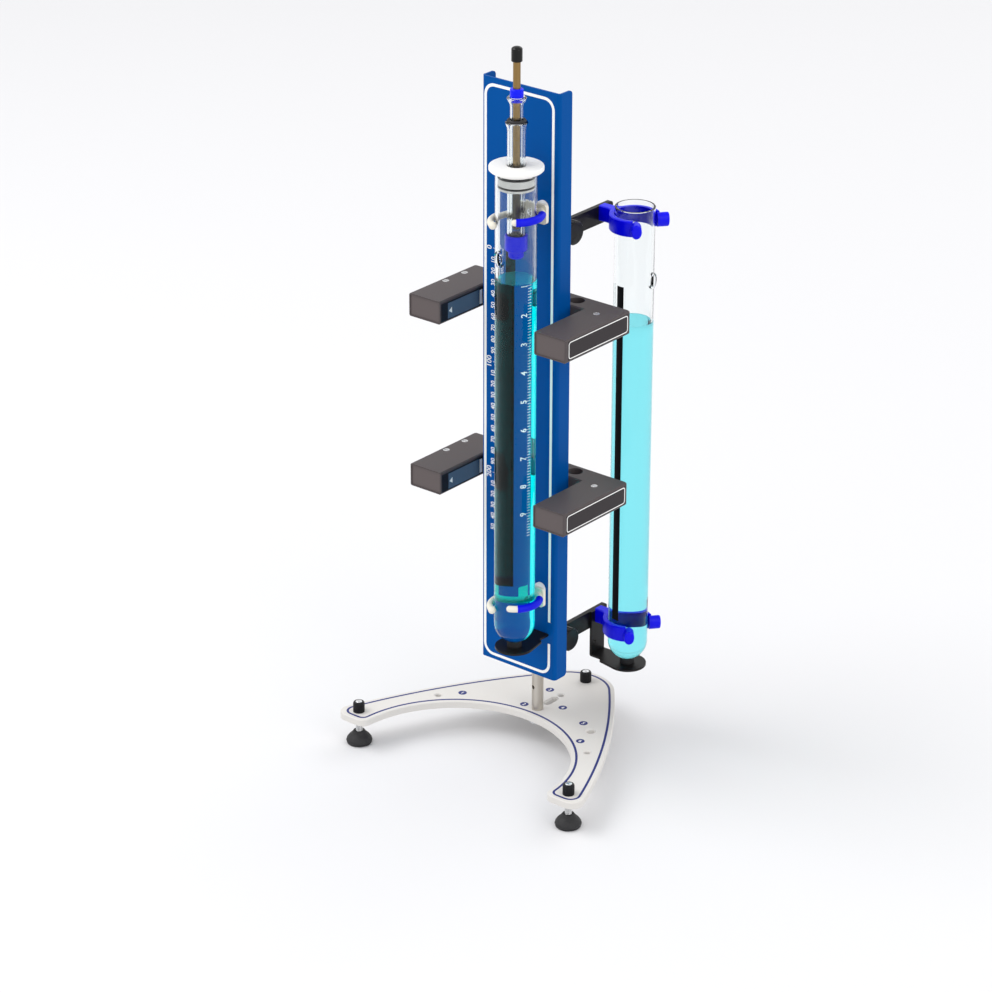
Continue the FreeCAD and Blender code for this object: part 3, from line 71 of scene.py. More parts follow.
def box_of(node):
    """Lowest and highest corner of a solid in millimetres, counted from the rod's axis."""
    low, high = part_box(node)
    shift = np.array([0.0, ROD_Y, 0.0])
    return np.array(low) / MM - shift, np.array(high) / MM - shift


# Places taken from the solids
ROD_Y = float(centre_of("support_rod")[1])
TUBE_AXES = {side: centre_of("%s_rest" % side)[:2] - (0.0, ROD_Y) for side in ("front", "rear")}
PANEL_FRONT = box_of("panel")[0][1]
PLATE_TOP = box_of("base_plate")[1][2]

# Both glass tubes: outer radius, radius of the bore, and a radius between the two that tells the bore's wall
TUBE_RADIUS = 17.0
TUBE_BORE = 15.25
BORE_REACH = TUBE_BORE + 0.4

# How strongly borosilicate glass and dyed water bend light
GLASS_IOR = 1.47
WATER_IOR = 1.34

# Print: its thickness, and the gap that keeps it clear of a tube's facets
PROUD = 0.06
TUBE_GAP = 0.02

# Built-in font: height of a digit per unit of size, and how much bolder than that it is drawn
DIGIT_SHARE = 0.72
DIGIT_WEIGHT = 0.012

# Soft boxes: name, place and target in metres, width and height in metres, power in watts
LAMPS = (("key", (-1.4, -1.2, 2.6), (0.0, 0.0, 0.25), 2.2, 1.6, 38.0),
         ("side", (2.4, -0.6, 1.5), (0.0, 0.0, 0.3), 1.6, 2.2, 13.0),
         ("back", (0.2, 2.6, 2.2), (0.0, 0.0, 0.3), 2.6, 1.6, 13.0))


def bowl_of(side):
    """Centre of the ball shape that ends a tube: on its axis, one outer radius above its lowest point."""
    return np.array([*TUBE_AXES[side], box_of("%s_tube" % side)[0][2] + TUBE_RADIUS])


def linear(code):
    """Linear colour from an sRGB hex value such as 0B4F9E."""
    parts = np.array([int(code[k:k + 2], 16) for k in (0, 2, 4)]) / 255.0
    out = np.where(parts <= 0.04045, parts / 12.92, ((parts + 0.055) / 1.055) ** 2.4)
    return tuple(float(v) for v in out)


def colour(label, words, code):
    """Colour setting with its default as an sRGB hex value."""
    return FloatVectorProperty(name=label, description=words, subtype="COLOR", size=3, min=0.0, max=1.0,
                               default=linear(code))


def length(label, words, millimetres):
    """Length setting with its default in millimetres."""
    return FloatProperty(name=label, description=words, unit="LENGTH", default=millimetres * MM)


class PanelPrint(bpy.types.PropertyGroup):
    """Sizes of the white print on the scale panel."""
    line: length("Border line", "Width of the border line", 2.5)
    left: length("Border left", "Left edge line, from the rod", -36.1)
    right: length("Border right", "Right edge line, from the rod", 33.6)
    top: length("Border top", "Height of the top line", 593.4)
    bottom: length("Border bottom", "Height of the bottom line", 84.6)
    corner: length("Border corner", "Corner radius of the border", 9.0)
    gap_low: length("Gap from", "Lower end of the break in the right line", 113.3)
    gap_high: length("Gap to", "Upper end of the break in the right line", 133.4)
    zero: length("Scale zero", "Height of the scale's zero", 454.3)
    span: length("Scale length", "Length of the scale", 250.0)
    ticks: length("Tick start", "Left end of the tick marks, from the rod", -25.4)
    tens: length("Tens", "Middle of the numbers of the tens, from the rod", -28.0)
    hundreds: length("Hundreds", "Middle of the numbers of the hundreds, from the rod", -32.1)
    tick: length("Tick width", "Width of one tick mark", 0.32)
    tick_1: length("Short tick", "Length of the millimetre ticks", 2.2)
    tick_5: length("Middle tick", "Length of the five millimetre ticks", 3.2)
    tick_10: length("Long tick", "Length of the ten millimetre ticks", 4.2)
    digit: length("Digit height", "Height of the numbers of the tens", 4.2)
    digit_100: length("Large digit height", "Height of the numbers of the hundreds", 5.0)
    ink: colour("Ink", "Colour of the print", "F7F7F5")


class TubeScale(bpy.types.PropertyGroup):
    """Sizes of the white print on the front tube."""
    low: length("Lowest tick", "Height of the lowest tick mark", 230.0)
    high: length("Highest tick", "Height of the highest tick mark", 450.0)
    step: length("Tick step", "Distance between tick marks", 2.5)
    tick: length("Tick width", "Width of one tick mark", 0.45)
    short: length("Short tick", "Length of a short tick mark", 3.3)
    tall: length("Long tick", "Length of a long tick mark", 5.0)
    digit: length("Digit height", "Height of the numbers", 5.2)
    ticks_at: FloatProperty(name="Tick direction", subtype="ANGLE", default=math.radians(85.0),
                            description="Direction of the ticks' right end from the front")
    film_end: length("Film end", "Length of the dark film below its solid strip", 10.7)
    ink: colour("Ink", "Colour of the print", "D8F6F8")


class LiquidLook(bpy.types.PropertyGroup):
    """Levels and colours of the two liquids."""
    front_level: length("Front level", "Height of the liquid in the front tube", 450.7)
    rear_level: length("Rear level", "Height of the liquid in the rear tube", 379.6)
    creep: length("Meniscus", "Height of the liquid's edge above its level", 0.4)
    front: colour("Front liquid", "Colour of the liquid in the front tube", "00FAFF")
    rear: colour("Rear liquid", "Colour of the liquid in the rear tube", "8DEEF7")


class LabelPrint(bpy.types.PropertyGroup):
    """Bare labels of the light gates and print on the base plate."""
    gate_line: length("Gate border", "Width of the border line on the gates", 0.8)
    slate: colour("Slate label", "Colour of the label inside the left arm", "506479")
    dark: colour("Dark label", "Colour of the label on the right arm", "383436")
    plate_line: length("Plate border", "Width of the border line on the plate", 2.0)
    plate_inset: length("Plate inset", "Distance from the plate's edge to the line", 4.5)
    mark: length("Mark radius", "Radius of the round number marks", 3.7)
    ink: colour("Plate ink", "Colour of the print on the plate", "0B1F6E")


class PaintLook(bpy.types.PropertyGroup):
    """Main colours of the painted and moulded pieces."""
    panel: colour("Panel paint", "Colour of the panel", "004E99")
    plate: colour("Plate paint", "Colour of the base plate", "D8D5D1")
    case: colour("Gate case", "Colour of the gates", "4E4748")
    cream: colour("Clip resin", "Colour of the front clips", "E6E1D3")
    dip: colour("Clip coating", "Colour of the coated rear clips", "0000E6")
    brass: colour("Brass", "Colour of the plunger rod", "94784C")


class StageLook(bpy.types.PropertyGroup):
    """Floor, light and camera."""
    floor: colour("Floor", "Colour of the floor", "E0E0E2")
    sky: FloatProperty(name="Sky", description="Strength of the even white light from all round", default=0.96)
    camera_x: length("Camera X", "Camera place along X", 1821.5)
    camera_y: length("Camera Y", "Camera place along Y, from the rod", -2275.3)
    camera_z: length("Camera Z", "Camera height", 1555.9)
    lens: FloatProperty(name="Lens", description="Focal length in millimetres", default=138.38)
    yaw: FloatProperty(name="Yaw", description="Turn of the camera to the left", subtype="ANGLE",
                       default=math.radians(39.39))
    pitch: FloatProperty(name="Pitch", description="Tilt of the camera downwards", subtype="ANGLE",
                         default=math.radians(24.45))
    roll: FloatProperty(name="Roll", description="Roll of the camera", subtype="ANGLE",
                        default=math.radians(0.12))


def add(tree, kind, inputs=None, **settings):
    """Adds one node with its settings, and fills or links its inputs."""
    made = tree.nodes.new(kind)
    for key, value in settings.items():
        setattr(made, key, value)
    for key, value in (inputs or {}).items():
        if isinstance(value, bpy.types.NodeSocket):
            tree.links.new(value, made.inputs[key])
        else:
            made.inputs[key].default_value = value
    return made


def surface_material(name, rgb, inputs):
    """Material with one Principled shader, its tree and the shader."""
    made = bpy.data.materials.new(name)
    made.use_nodes = True
    tree = made.node_tree
    tree.nodes.clear()
    shader = add(tree, "ShaderNodeBsdfPrincipled", {"Base Color": (*rgb, 1.0), **inputs})
    add(tree, "ShaderNodeOutputMaterial", {"Surface": shader.outputs["BSDF"]})
    made.diffuse_color = (*rgb, 1.0)
    return made, tree, shader


def bump(tree, shader, height, millimetres):
    """Feeds a height pattern to the shader's normal."""
    raised = add(tree, "ShaderNodeBump", {"Height": height, "Strength": 1.0, "Distance": millimetres * MM})
    tree.links.new(raised.outputs["Normal"], shader.inputs["Normal"])


def speckle(tree, millimetres, detail=2.0, stretch=(1.0, 1.0, 1.0)):
    """Noise on object coordinates with grains of the given size."""
    place = add(tree, "ShaderNodeTexCoord")
    mapped = add(tree, "ShaderNodeMapping", {"Vector": place.outputs["Object"], "Scale": stretch})
    return add(tree, "ShaderNodeTexNoise", {"Vector": mapped.outputs["Vector"],
                                            "Scale": 1.0 / (millimetres * MM), "Detail": detail})


def spread(tree, value, low, high):
    """Maps a pattern to a small range of values."""
    return add(tree, "ShaderNodeMapRange", {"Value": value, "To Min": low, "To Max": high}).outputs["Result"]


def powder_coat(name, rgb, rough, orange_peel, shine=0.2):
    """Powder coat, baked on sheet steel: even colour, soft gloss, faint orange peel of about 2 mm."""
    made, tree, shader = surface_material(name, rgb, {"Roughness": rough, "IOR": 1.5,
                                                      "Specular IOR Level": shine})
    peel = speckle(tree, 2.0)
    bump(tree, shader, peel.outputs["Fac"], orange_peel)
    return made


def ground_steel():
    """Centreless ground steel: fine rings round the bar, drawn at 0.6 mm so that they show."""
    made, tree, shader = surface_material("ground_steel", linear("C6C0B6"),
                                          {"Metallic": 1.0, "Roughness": 0.34})
    rings = speckle(tree, 0.6, 3.0, (0.15, 0.15, 1.0))
    tree.links.new(spread(tree, rings.outputs["Fac"], 0.27, 0.42), shader.inputs["Roughness"])
    bump(tree, shader, rings.outputs["Fac"], 0.01)
    return made


def zinc_steel():
    """Zinc plated steel of screws and nuts: bright, slightly cloudy."""
    made, tree, shader = surface_material("zinc_plated_steel", linear("D3D4D6"),
                                          {"Metallic": 1.0, "Roughness": 0.26})
    cloud = speckle(tree, 1.5)
    tree.links.new(spread(tree, cloud.outputs["Fac"], 0.2, 0.34), shader.inputs["Roughness"])
    return made


def machined_aluminium():
    """Milled aluminium blocks: pale, with tool marks of 0.8 mm."""
    made, tree, shader = surface_material("milled_aluminium", linear("CBCCCE"),
                                          {"Metallic": 1.0, "Roughness": 0.36})
    marks = speckle(tree, 0.8, 2.0, (1.0, 1.0, 0.1))
    bump(tree, shader, marks.outputs["Fac"], 0.015)
    return made


def moulded(name, rgb, rough, grain, depth, shine=0.2):
    """Injection moulded plastic with a spark-eroded grain."""
    made, tree, shader = surface_material(name, rgb, {"Roughness": rough, "IOR": 1.5,
                                                      "Specular IOR Level": shine})
    skin = speckle(tree, grain)
    bump(tree, shader, skin.outputs["Fac"], depth)
    return made


def nitrile_rubber():
    """Nitrile rubber, moulded: nearly black, dull, with a dusty bloom."""
    made, tree, shader = surface_material("nitrile_rubber", linear("17171A"),
                                          {"Roughness": 0.62, "IOR": 1.52})
    bloom = speckle(tree, 1.2)
    tree.links.new(spread(tree, bloom.outputs["Fac"], 0.5, 0.72), shader.inputs["Roughness"])
    bump(tree, shader, bloom.outputs["Fac"], 0.03)
    return made


def borosilicate_glass(name):
    """Borosilicate glass, drawn and fire polished: colourless, very smooth."""
    return surface_material(name, (0.97, 0.99, 0.99), {"Roughness": 0.0, "IOR": GLASS_IOR,
                                                       "Transmission Weight": 1.0,
                                                       "Specular Tint": (0.4, 0.4, 0.4, 1.0)})


def wetted_glass(side, level):
    """Glass of a filled tube: below the level its bore bends no light, because the liquid's wall does it.

    A point is on the bore when it is nearer than BORE_REACH to the axis, and in the round end to its centre.
    """
    made, tree, shader = borosilicate_glass("borosilicate_glass_%s" % side)
    bowl = tuple(float(v) * MM for v in bowl_of(side) + (0.0, ROD_Y, 0.0))
    place = add(tree, "ShaderNodeTexCoord").outputs["Object"]
    height = add(tree, "ShaderNodeSeparateXYZ", {"Vector": place})
    below = add(tree, "ShaderNodeMath", {0: height.outputs["Z"], 1: level}, operation="LESS_THAN")
    apart = add(tree, "ShaderNodeVectorMath", {0: place, 1: bowl}, operation="SUBTRACT")
    downwards = add(tree, "ShaderNodeVectorMath", {0: apart.outputs["Vector"], 1: (1.0, 1.0, 0.0)},
                    operation="MINIMUM")
    reach = add(tree, "ShaderNodeVectorMath", {0: downwards.outputs["Vector"]}, operation="LENGTH")
    bore = add(tree, "ShaderNodeMath", {0: reach.outputs["Value"], 1: BORE_REACH * MM}, operation="LESS_THAN")
    wet = add(tree, "ShaderNodeMath", {0: below.outputs["Value"], 1: bore.outputs["Value"]},
              operation="MULTIPLY")
    tree.links.new(spread(tree, wet.outputs["Value"], GLASS_IOR, 1.0), shader.inputs["IOR"])
    return made


def coloured_liquid(name, rgb, level, free_ior=1.05, painted_sheen_clear=0.8):
    """Dyed water: clear body tinted by its surface colour, and a free surface with a painted sheen: it is made
    paler and bends light less, so that it shows as a disc lit from above.

    Its wall touches the glass, so it bends light as water against glass does.
    """
    made, tree, shader = surface_material(name, rgb, {"Roughness": 0.0, "Specular Tint": (0.0, 0.0, 0.0, 1.0)})
    place = add(tree, "ShaderNodeTexCoord").outputs["Object"]
    height = add(tree, "ShaderNodeSeparateXYZ", {"Vector": place})
    # Painted sheen: above the level the surface bends less light and is only partly clear, so it shows paler,
    # as if lit from above
    free = add(tree, "ShaderNodeMath", {0: height.outputs["Z"], 1: level}, operation="GREATER_THAN")
    tree.links.new(spread(tree, free.outputs["Value"], WATER_IOR / GLASS_IOR, free_ior), shader.inputs["IOR"])
    tree.links.new(spread(tree, free.outputs["Value"], 1.0, painted_sheen_clear), shader.inputs["Transmission Weight"])
    return made


def vinyl_dip(rgb):
    """Plastisol, dipped on spring steel: thick, rounded, saturated and half glossy."""
    made, tree, shader = surface_material("dipped_vinyl", rgb, {"Roughness": 0.3, "IOR": 1.5,
                                                                "Specular IOR Level": 0.2})
    runs = speckle(tree, 3.0)
    bump(tree, shader, runs.outputs["Fac"], 0.12)
    return made


def drawn_brass(rgb):
    """Drawn brass rod, a little tarnished: long faint streaks along the rod."""
    made, tree, shader = surface_material("drawn_brass", rgb, {"Metallic": 1.0, "Roughness": 0.36})
    streaks = speckle(tree, 0.8, 3.0, (1.0, 1.0, 0.04))
    tree.links.new(spread(tree, streaks.outputs["Fac"], 0.28, 0.46), shader.inputs["Roughness"])
    return made


def bearing_steel():
    """Lapped steel of a bearing ball: mirror bright."""
    return surface_material("polished_bearing_steel", linear("D9D9DC"), {"Metallic": 1.0, "Roughness": 0.08})[0]


def screen_ink(name, rgb):
    """Screen printed ink: flat, opaque, a little rough."""
    return surface_material(name, rgb, {"Roughness": 0.5, "IOR": 1.5})[0]


def give(material, *nodes):
    """Sets one material on solids of the frame."""
    for name in nodes:
        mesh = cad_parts[name].data
        mesh.materials.clear()
        mesh.materials.append(material)


def finish_piece(name, points, faces, material, body, smooth=False):
    """Makes a mesh object from points in millimetres round the rod's axis, riding on a body."""
    mesh = bpy.data.meshes.new(name)
    placed = (np.asarray(points, float).reshape(-1, 3) + (0.0, ROD_Y, 0.0)) * MM
    mesh.from_pydata(placed.tolist(), [], [tuple(int(i) for i in f) for f in faces])
    mesh.update()
    mesh.polygons.foreach_set("use_smooth", np.full(len(mesh.polygons), smooth))
    mesh.materials.append(material)
    made = bpy.data.objects.new(name, mesh)
    bpy.context.scene.collection.objects.link(made)
    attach(made, body)
    return made


def grid_faces(rows, columns, close_rows, close_columns):
    """Four-sided faces of a grid of points, closed on itself where asked."""
    r = np.arange(rows if close_rows else rows - 1)
    c = np.arange(columns if close_columns else columns - 1)
    a, b = np.meshgrid(r, c, indexing="ij")
    a2 = (a + 1) % rows
    b2 = (b + 1) % columns
    corners = [a * columns + b, a * columns + b2, a2 * columns + b2, a2 * columns + b]
    return np.stack(corners, -1).reshape(-1, 4)


def lathe(profile, axis, turns):
    """Turned surface: each radius and height of the profile carried round the axis."""
    profile = np.asarray(profile, float)
    angle = np.linspace(0.0, 2.0 * math.pi, turns, endpoint=False)
    x = axis[0] + profile[None, :, 0] * np.cos(angle)[:, None]
    y = axis[1] + profile[None, :, 0] * np.sin(angle)[:, None]
    z = np.broadcast_to(profile[None, :, 1], x.shape)
    return np.stack([x, y, z], -1), grid_faces(turns, len(profile), True, False)[:, ::-1]


def rounded_path(left, right, low, high, radius, per_corner=8):
    """Closed rounded rectangle: quarter circles about the four inner corners, joined in order."""
    turn = np.linspace(0.0, math.pi / 2.0, per_corner)
    parts = []
    corners = ((right - radius, high - radius, 0.0), (left + radius, high - radius, 0.5),
               (left + radius, low + radius, 1.0), (right - radius, low + radius, 1.5))
    for cx, cy, start in corners:
        t = turn + start * math.pi
        parts.append(np.stack([cx + radius * np.cos(t), cy + radius * np.sin(t)], -1))
    return np.concatenate(parts)


def path_sides(path, closed):
    """Unit normals of a flat path, from the mean direction of its neighbours."""
    if closed:
        ahead = np.roll(path, -1, 0) - path
        behind = path - np.roll(path, 1, 0)
    else:
        steps = np.diff(path, axis=0)
        ahead = np.concatenate([steps, steps[-1:]])
        behind = np.concatenate([steps[:1], steps])
    ahead = ahead / np.linalg.norm(ahead, axis=1)[:, None]
    behind = behind / np.linalg.norm(behind, axis=1)[:, None]
    mean = ahead + behind
    mean = mean / np.linalg.norm(mean, axis=1)[:, None]
    side = np.stack([-mean[:, 1], mean[:, 0]], -1)
    stretch = 1.0 / np.clip((mean * ahead).sum(1), 0.5, 1.0)
    return side * stretch[:, None]


def flat_line(path, width, closed=True):
    """Line of ink: half its width to each side of a path and PROUD thick, as (a, b, height) points."""
    path = np.asarray(path, float)
    side = path_sides(path, closed) * width / 2.0
    outer = path + side
    inner = path - side
    flat = np.zeros(len(path))
    raised = np.full(len(path), PROUD)
    section = [np.column_stack([outer, flat]), np.column_stack([outer, raised]),
               np.column_stack([inner, raised]), np.column_stack([inner, flat])]
    points = np.stack(section, 1)
    faces = grid_faces(len(path), 4, closed, True)
    if not closed:
        last = (len(path) - 1) * 4
        faces = np.concatenate([faces, [[3, 2, 1, 0], [last, last + 1, last + 2, last + 3]]])
    return points.reshape(-1, 3), faces


def flat_bars(a0, a1, b0, b1, height=PROUD):
    """Many small flat bars at once: eight corners each, from arrays of their limits."""
    a0, a1, b0, b1 = np.broadcast_arrays(*[np.asarray(v, float) for v in (a0, a1, b0, b1)])
    low = np.stack([np.stack([a0, b0], -1), np.stack([a1, b0], -1), np.stack([a1, b1], -1),
                    np.stack([a0, b1], -1)], 1)
    base = np.concatenate([low, np.zeros(low.shape[:2] + (1,))], -1)
    top = np.concatenate([low, np.full(low.shape[:2] + (1,), height)], -1)
    points = np.concatenate([base, top], 1).reshape(-1, 3)
    one = np.array([[0, 3, 2, 1], [4, 5, 6, 7], [0, 1, 5, 4], [1, 2, 6, 5], [2, 3, 7, 6], [3, 0, 4, 7]])
    faces = (one[None] + 8 * np.arange(len(a0))[:, None, None]).reshape(-1, 4)
    return points, faces


def disc(centre, radius, turns=40):
    """Flat disc: a turned profile from the axis out, up and back, as (a, b, height) points."""
    points, faces = lathe([(0.0, 0.0), (radius, 0.0), (radius, PROUD), (0.0, PROUD)], centre, turns)
    return points.reshape(-1, 3), faces


def number(text, height, turned=False):
    """Number as a flat mesh centred on zero, as (a, b, height) points, a quarter turned where asked."""
    curve = bpy.data.curves.new("number", "FONT")
    curve.body = text
    curve.size = height / DIGIT_SHARE
    curve.extrude = PROUD / 2.0
    curve.resolution_u = 3
    curve.offset = height * DIGIT_WEIGHT
    holder = bpy.data.objects.new("number", curve)
    bpy.context.scene.collection.objects.link(holder)
    bpy.context.view_layer.update()
    mesh = bpy.data.meshes.new_from_object(holder)
    points = np.zeros(len(mesh.vertices) * 3)
    mesh.vertices.foreach_get("co", points)
    points = points.reshape(-1, 3)
    faces = [tuple(p.vertices) for p in mesh.polygons]
    bpy.data.objects.remove(holder)
    bpy.data.meshes.remove(mesh)
    bpy.data.curves.remove(curve)
    points[:, :2] -= (points[:, :2].min(0) + points[:, :2].max(0)) / 2.0
    points[:, 2] += PROUD / 2.0
    if turned:
        points[:, :2] = points[:, [1, 0]] * (-1.0, 1.0)
    return points, faces


def gather(parts):
    """Several meshes as one list of points and one list of faces."""
    points = []
    faces = []
    count = 0
    for some_points, some_faces in parts:
        points.append(some_points)
        faces.extend([tuple(int(i) + count for i in f) for f in some_faces])
        count += len(some_points)
    return np.concatenate(points), faces


def shifted(part, a, b, height=0.0):
    """The same mesh moved in its plane."""
    return part[0] + (a, b, height), part[1]


def on_panel(points):
    """Flat print laid on the panel's front face: a to X, b to Z, height to -Y."""
    return np.column_stack([points[:, 0], PANEL_FRONT - points[:, 2], points[:, 1]])


def on_plate(points):
    """Flat print laid on the base plate: a to X, b to Y, height to Z."""
    return np.column_stack([points[:, 0], points[:, 1], PLATE_TOP + points[:, 2]])


def on_tube(points, side):
    """Flat print wrapped round a tube: a along the arc from the front to +X, b to Z, height outwards."""
    axis = TUBE_AXES[side]
    turn = points[:, 0] / TUBE_RADIUS
    reach = TUBE_RADIUS + TUBE_GAP + points[:, 2]
    return np.column_stack([axis[0] + reach * np.sin(turn), axis[1] - reach * np.cos(turn), points[:, 1]])


def on_side(points, x):
    """Flat print on a face that looks along X: a to Y, b to Z, height to X."""
    return np.column_stack([x + points[:, 2], points[:, 0], points[:, 1]])


class VISCO_OT_stage(bpy.types.Operator):
    """Camera, floor and soft studio light."""
    bl_idname = "visco.stage"
    bl_label = "Stage and camera"

    def execute(self, context):
        look = context.scene.visco_stage
        data = bpy.data.cameras.new("camera")
        data.sensor_width = 36.0
        data.lens = look.lens
        data.clip_start = 0.1
        data.clip_end = 60.0
        camera = bpy.data.objects.new("camera", data)
        context.scene.collection.objects.link(camera)
        ahead = Vector((-math.sin(look.yaw) * math.cos(look.pitch), math.cos(look.yaw) * math.cos(look.pitch),
                        -math.sin(look.pitch)))
        level = Vector((math.cos(look.yaw), math.sin(look.yaw), 0.0))
        above = level.cross(ahead)
        right = level * math.cos(look.roll) + above * math.sin(look.roll)
        up = above * math.cos(look.roll) - level * math.sin(look.roll)
        turn = Matrix((right, up, -ahead)).transposed().to_4x4()
        place = Matrix.Translation((look.camera_x, look.camera_y + ROD_Y * MM, look.camera_z))
        camera.matrix_world = place @ turn
        context.scene.camera = camera
        # The colours are matched without a film look
        context.scene.view_settings.view_transform = "Standard"
        self.floor(context, look)
        for lamp in LAMPS:
            self.light(context, *lamp)
        world = bpy.data.worlds.new("studio")
        world.use_nodes = True
        background = world.node_tree.nodes["Background"]
        background.inputs["Color"].default_value = (1.0, 1.0, 1.0, 1.0)
        background.inputs["Strength"].default_value = look.sky
        context.scene.world = world
        return {"FINISHED"}

    def floor(self, context, look, half=14.0):
        """Plane of matt paper under the rubber feet, reaching half metres to each side."""
        paper = surface_material("paper_floor", tuple(look.floor), {"Roughness": 0.9})[0]
        mesh = bpy.data.meshes.new("floor")
        mesh.from_pydata([(-half, -half, 0.0), (half, -half, 0.0), (half, half, 0.0), (-half, half, 0.0)], [],
                         [(0, 1, 2, 3)])
        mesh.materials.append(paper)
        floor = bpy.data.objects.new("floor", mesh)
        context.scene.collection.objects.link(floor)

    def light(self, context, name, place, target, wide, high, power):
        """Soft box that looks at a point."""
        data = bpy.data.lights.new(name, "AREA")
        data.shape = "RECTANGLE"
        data.size = wide
        data.size_y = high
        data.energy = power
        lamp = bpy.data.objects.new(name, data)
        context.scene.collection.objects.link(lamp)
        lamp.location = place
        lamp.rotation_euler = (Vector(target) - Vector(place)).to_track_quat("-Z", "Y").to_euler()


class VISCO_OT_finishes(bpy.types.Operator):
    """Materials of all solids."""
    bl_idname = "visco.finishes"
    bl_label = "Finishes of the solids"

    def execute(self, context):
        paint = context.scene.visco_paint
        give(powder_coat("powder_coat_blue", tuple(paint.panel), 0.3, 0.01, 0.04), "panel")
        give(powder_coat("powder_coat_light_grey", tuple(paint.plate), 0.42, 0.015), "base_plate")
        give(powder_coat("powder_coat_black", linear("151314"), 0.36, 0.02), "front_shelf", "rear_shelf",
             "rear_arm_upper", "rear_arm_lower")
        give(ground_steel(), "support_rod")
        give(zinc_steel(), "rod_nut", "panel_nuts", "clamp_screws", "clip_screws", "rear_screws",
             "gate_upper_screws", "gate_lower_screws", "foot_left_stud", "foot_right_stud", "foot_rear_stud")
        give(machined_aluminium(), "panel_clamps")
        give(moulded("moulded_black_abs", linear("151518"), 0.36, 0.5, 0.02), "arm_knob_upper",
             "arm_knob_lower", "gate_upper_knob", "gate_lower_knob", "foot_left_knob", "foot_right_knob",
             "foot_rear_knob", "gate_upper_socket", "gate_lower_socket")
        give(moulded("moulded_black_vinyl", linear("050506"), 0.14, 1.0, 0.01, 0.3), "rod_cap")
        give(moulded("moulded_gate_abs", tuple(paint.case), 0.46, 0.4, 0.02), "gate_upper_housing",
             "gate_lower_housing")
        give(moulded("moulded_end_abs", linear("5C5454"), 0.5, 0.4, 0.02), "gate_upper_end_plates",
             "gate_lower_end_plates")
        give(moulded("moulded_cream_acetal", tuple(paint.cream), 0.36, 0.8, 0.03), "front_clip_upper",
             "front_clip_lower")
        give(moulded("turned_white_ptfe", linear("F3F2EF"), 0.4, 1.0, 0.02), "stopper", "clip_spacers")
        give(moulded("extruded_blue_pvc", linear("0008D8"), 0.42, 1.0, 0.03), "clip_sleeve_upper",
             "clip_sleeve_lower")
        give(moulded("moulded_blue_polypropylene", linear("0014F0"), 0.3, 1.0, 0.01), "guide_collar",
             "drop_bush", "drop_tip")
        give(vinyl_dip(tuple(paint.dip)), "rear_clip_upper", "rear_clip_lower")
        give(nitrile_rubber(), "foot_left_rubber", "foot_right_rubber", "foot_rear_rubber", "front_rest",
             "rear_rest", "stopper_seals", "guide_ring")
        give(moulded("black_vinyl_film", linear("161618"), 0.42, 1.0, 0.01, 0.05), "front_strip",
             "rear_strip")
        give(moulded("tinted_acrylic", linear("2A0508"), 0.08, 1.0, 0.0), "gate_upper_lenses",
             "gate_lower_lenses")
        give(borosilicate_glass("borosilicate_glass")[0], "guide_tube", "drop_tube")
        liquid = context.scene.visco_liquid
        give(wetted_glass("front", liquid.front_level), "front_tube")
        give(wetted_glass("rear", liquid.rear_level), "rear_tube")
        give(drawn_brass(tuple(paint.brass)), "plunger_rod")
        give(bearing_steel(), "ball")
        return {"FINISHED"}


class VISCO_OT_foot_threads(bpy.types.Operator):
    """Studs of the feet with their M6 thread cut into the plain solids."""
    bl_idname = "visco.foot_threads"
    bl_label = "Threads of the feet"

    def execute(self, context):
        steel = bpy.data.materials["zinc_plated_steel"]
        for side in ("left", "right", "rear"):
            node = "foot_%s_stud" % side
            low, high = box_of(node)
            axis = (low[:2] + high[:2]) / 2.0
            points, faces = self.stud(axis, low[2], high[2])
            piece = finish_piece("foot_%s_thread" % side, points, faces, steel, "foot_%s_screw" % side,
                                 True)
            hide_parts(node)
        return {"FINISHED"}

    def stud(self, axis, low, high, radius=3.0, pitch=1.0, depth=0.5, thread_top=29.5, turns=32):
        """Thread: radius less a triangle wave of height and turn, smooth at the foot and above thread_top.

        The foot is a flat disc of the core's radius, and the top is a dome of three rings.
        """
        dome, shoulder, shoulder_share, foot = 0.7, 0.25, 0.72, 0.4
        top = high - dome
        z = np.concatenate([[low, low], np.arange(low + foot, top, pitch / 8.0), [top, high - shoulder, high]])
        angle = np.linspace(0.0, 2.0 * math.pi, turns, endpoint=False)
        phase = (z[None, :] / pitch - angle[:, None] / (2.0 * math.pi)) % 1.0
        wave = 1.0 - np.abs(2.0 * phase - 1.0)
        cut = (z > low) & (z < thread_top)
        reach = radius - depth * wave * cut[None, :]
        reach[:, 0] = 0.0
        reach[:, 1] = radius - depth
        reach[:, -2] = radius * shoulder_share
        reach[:, -1] = 0.0
        x = axis[0] + reach * np.cos(angle)[:, None]
        y = axis[1] + reach * np.sin(angle)[:, None]
        points = np.stack([x, y, np.broadcast_to(z[None, :], x.shape)], -1)
        return points, grid_faces(turns, len(z), True, False)[:, ::-1]


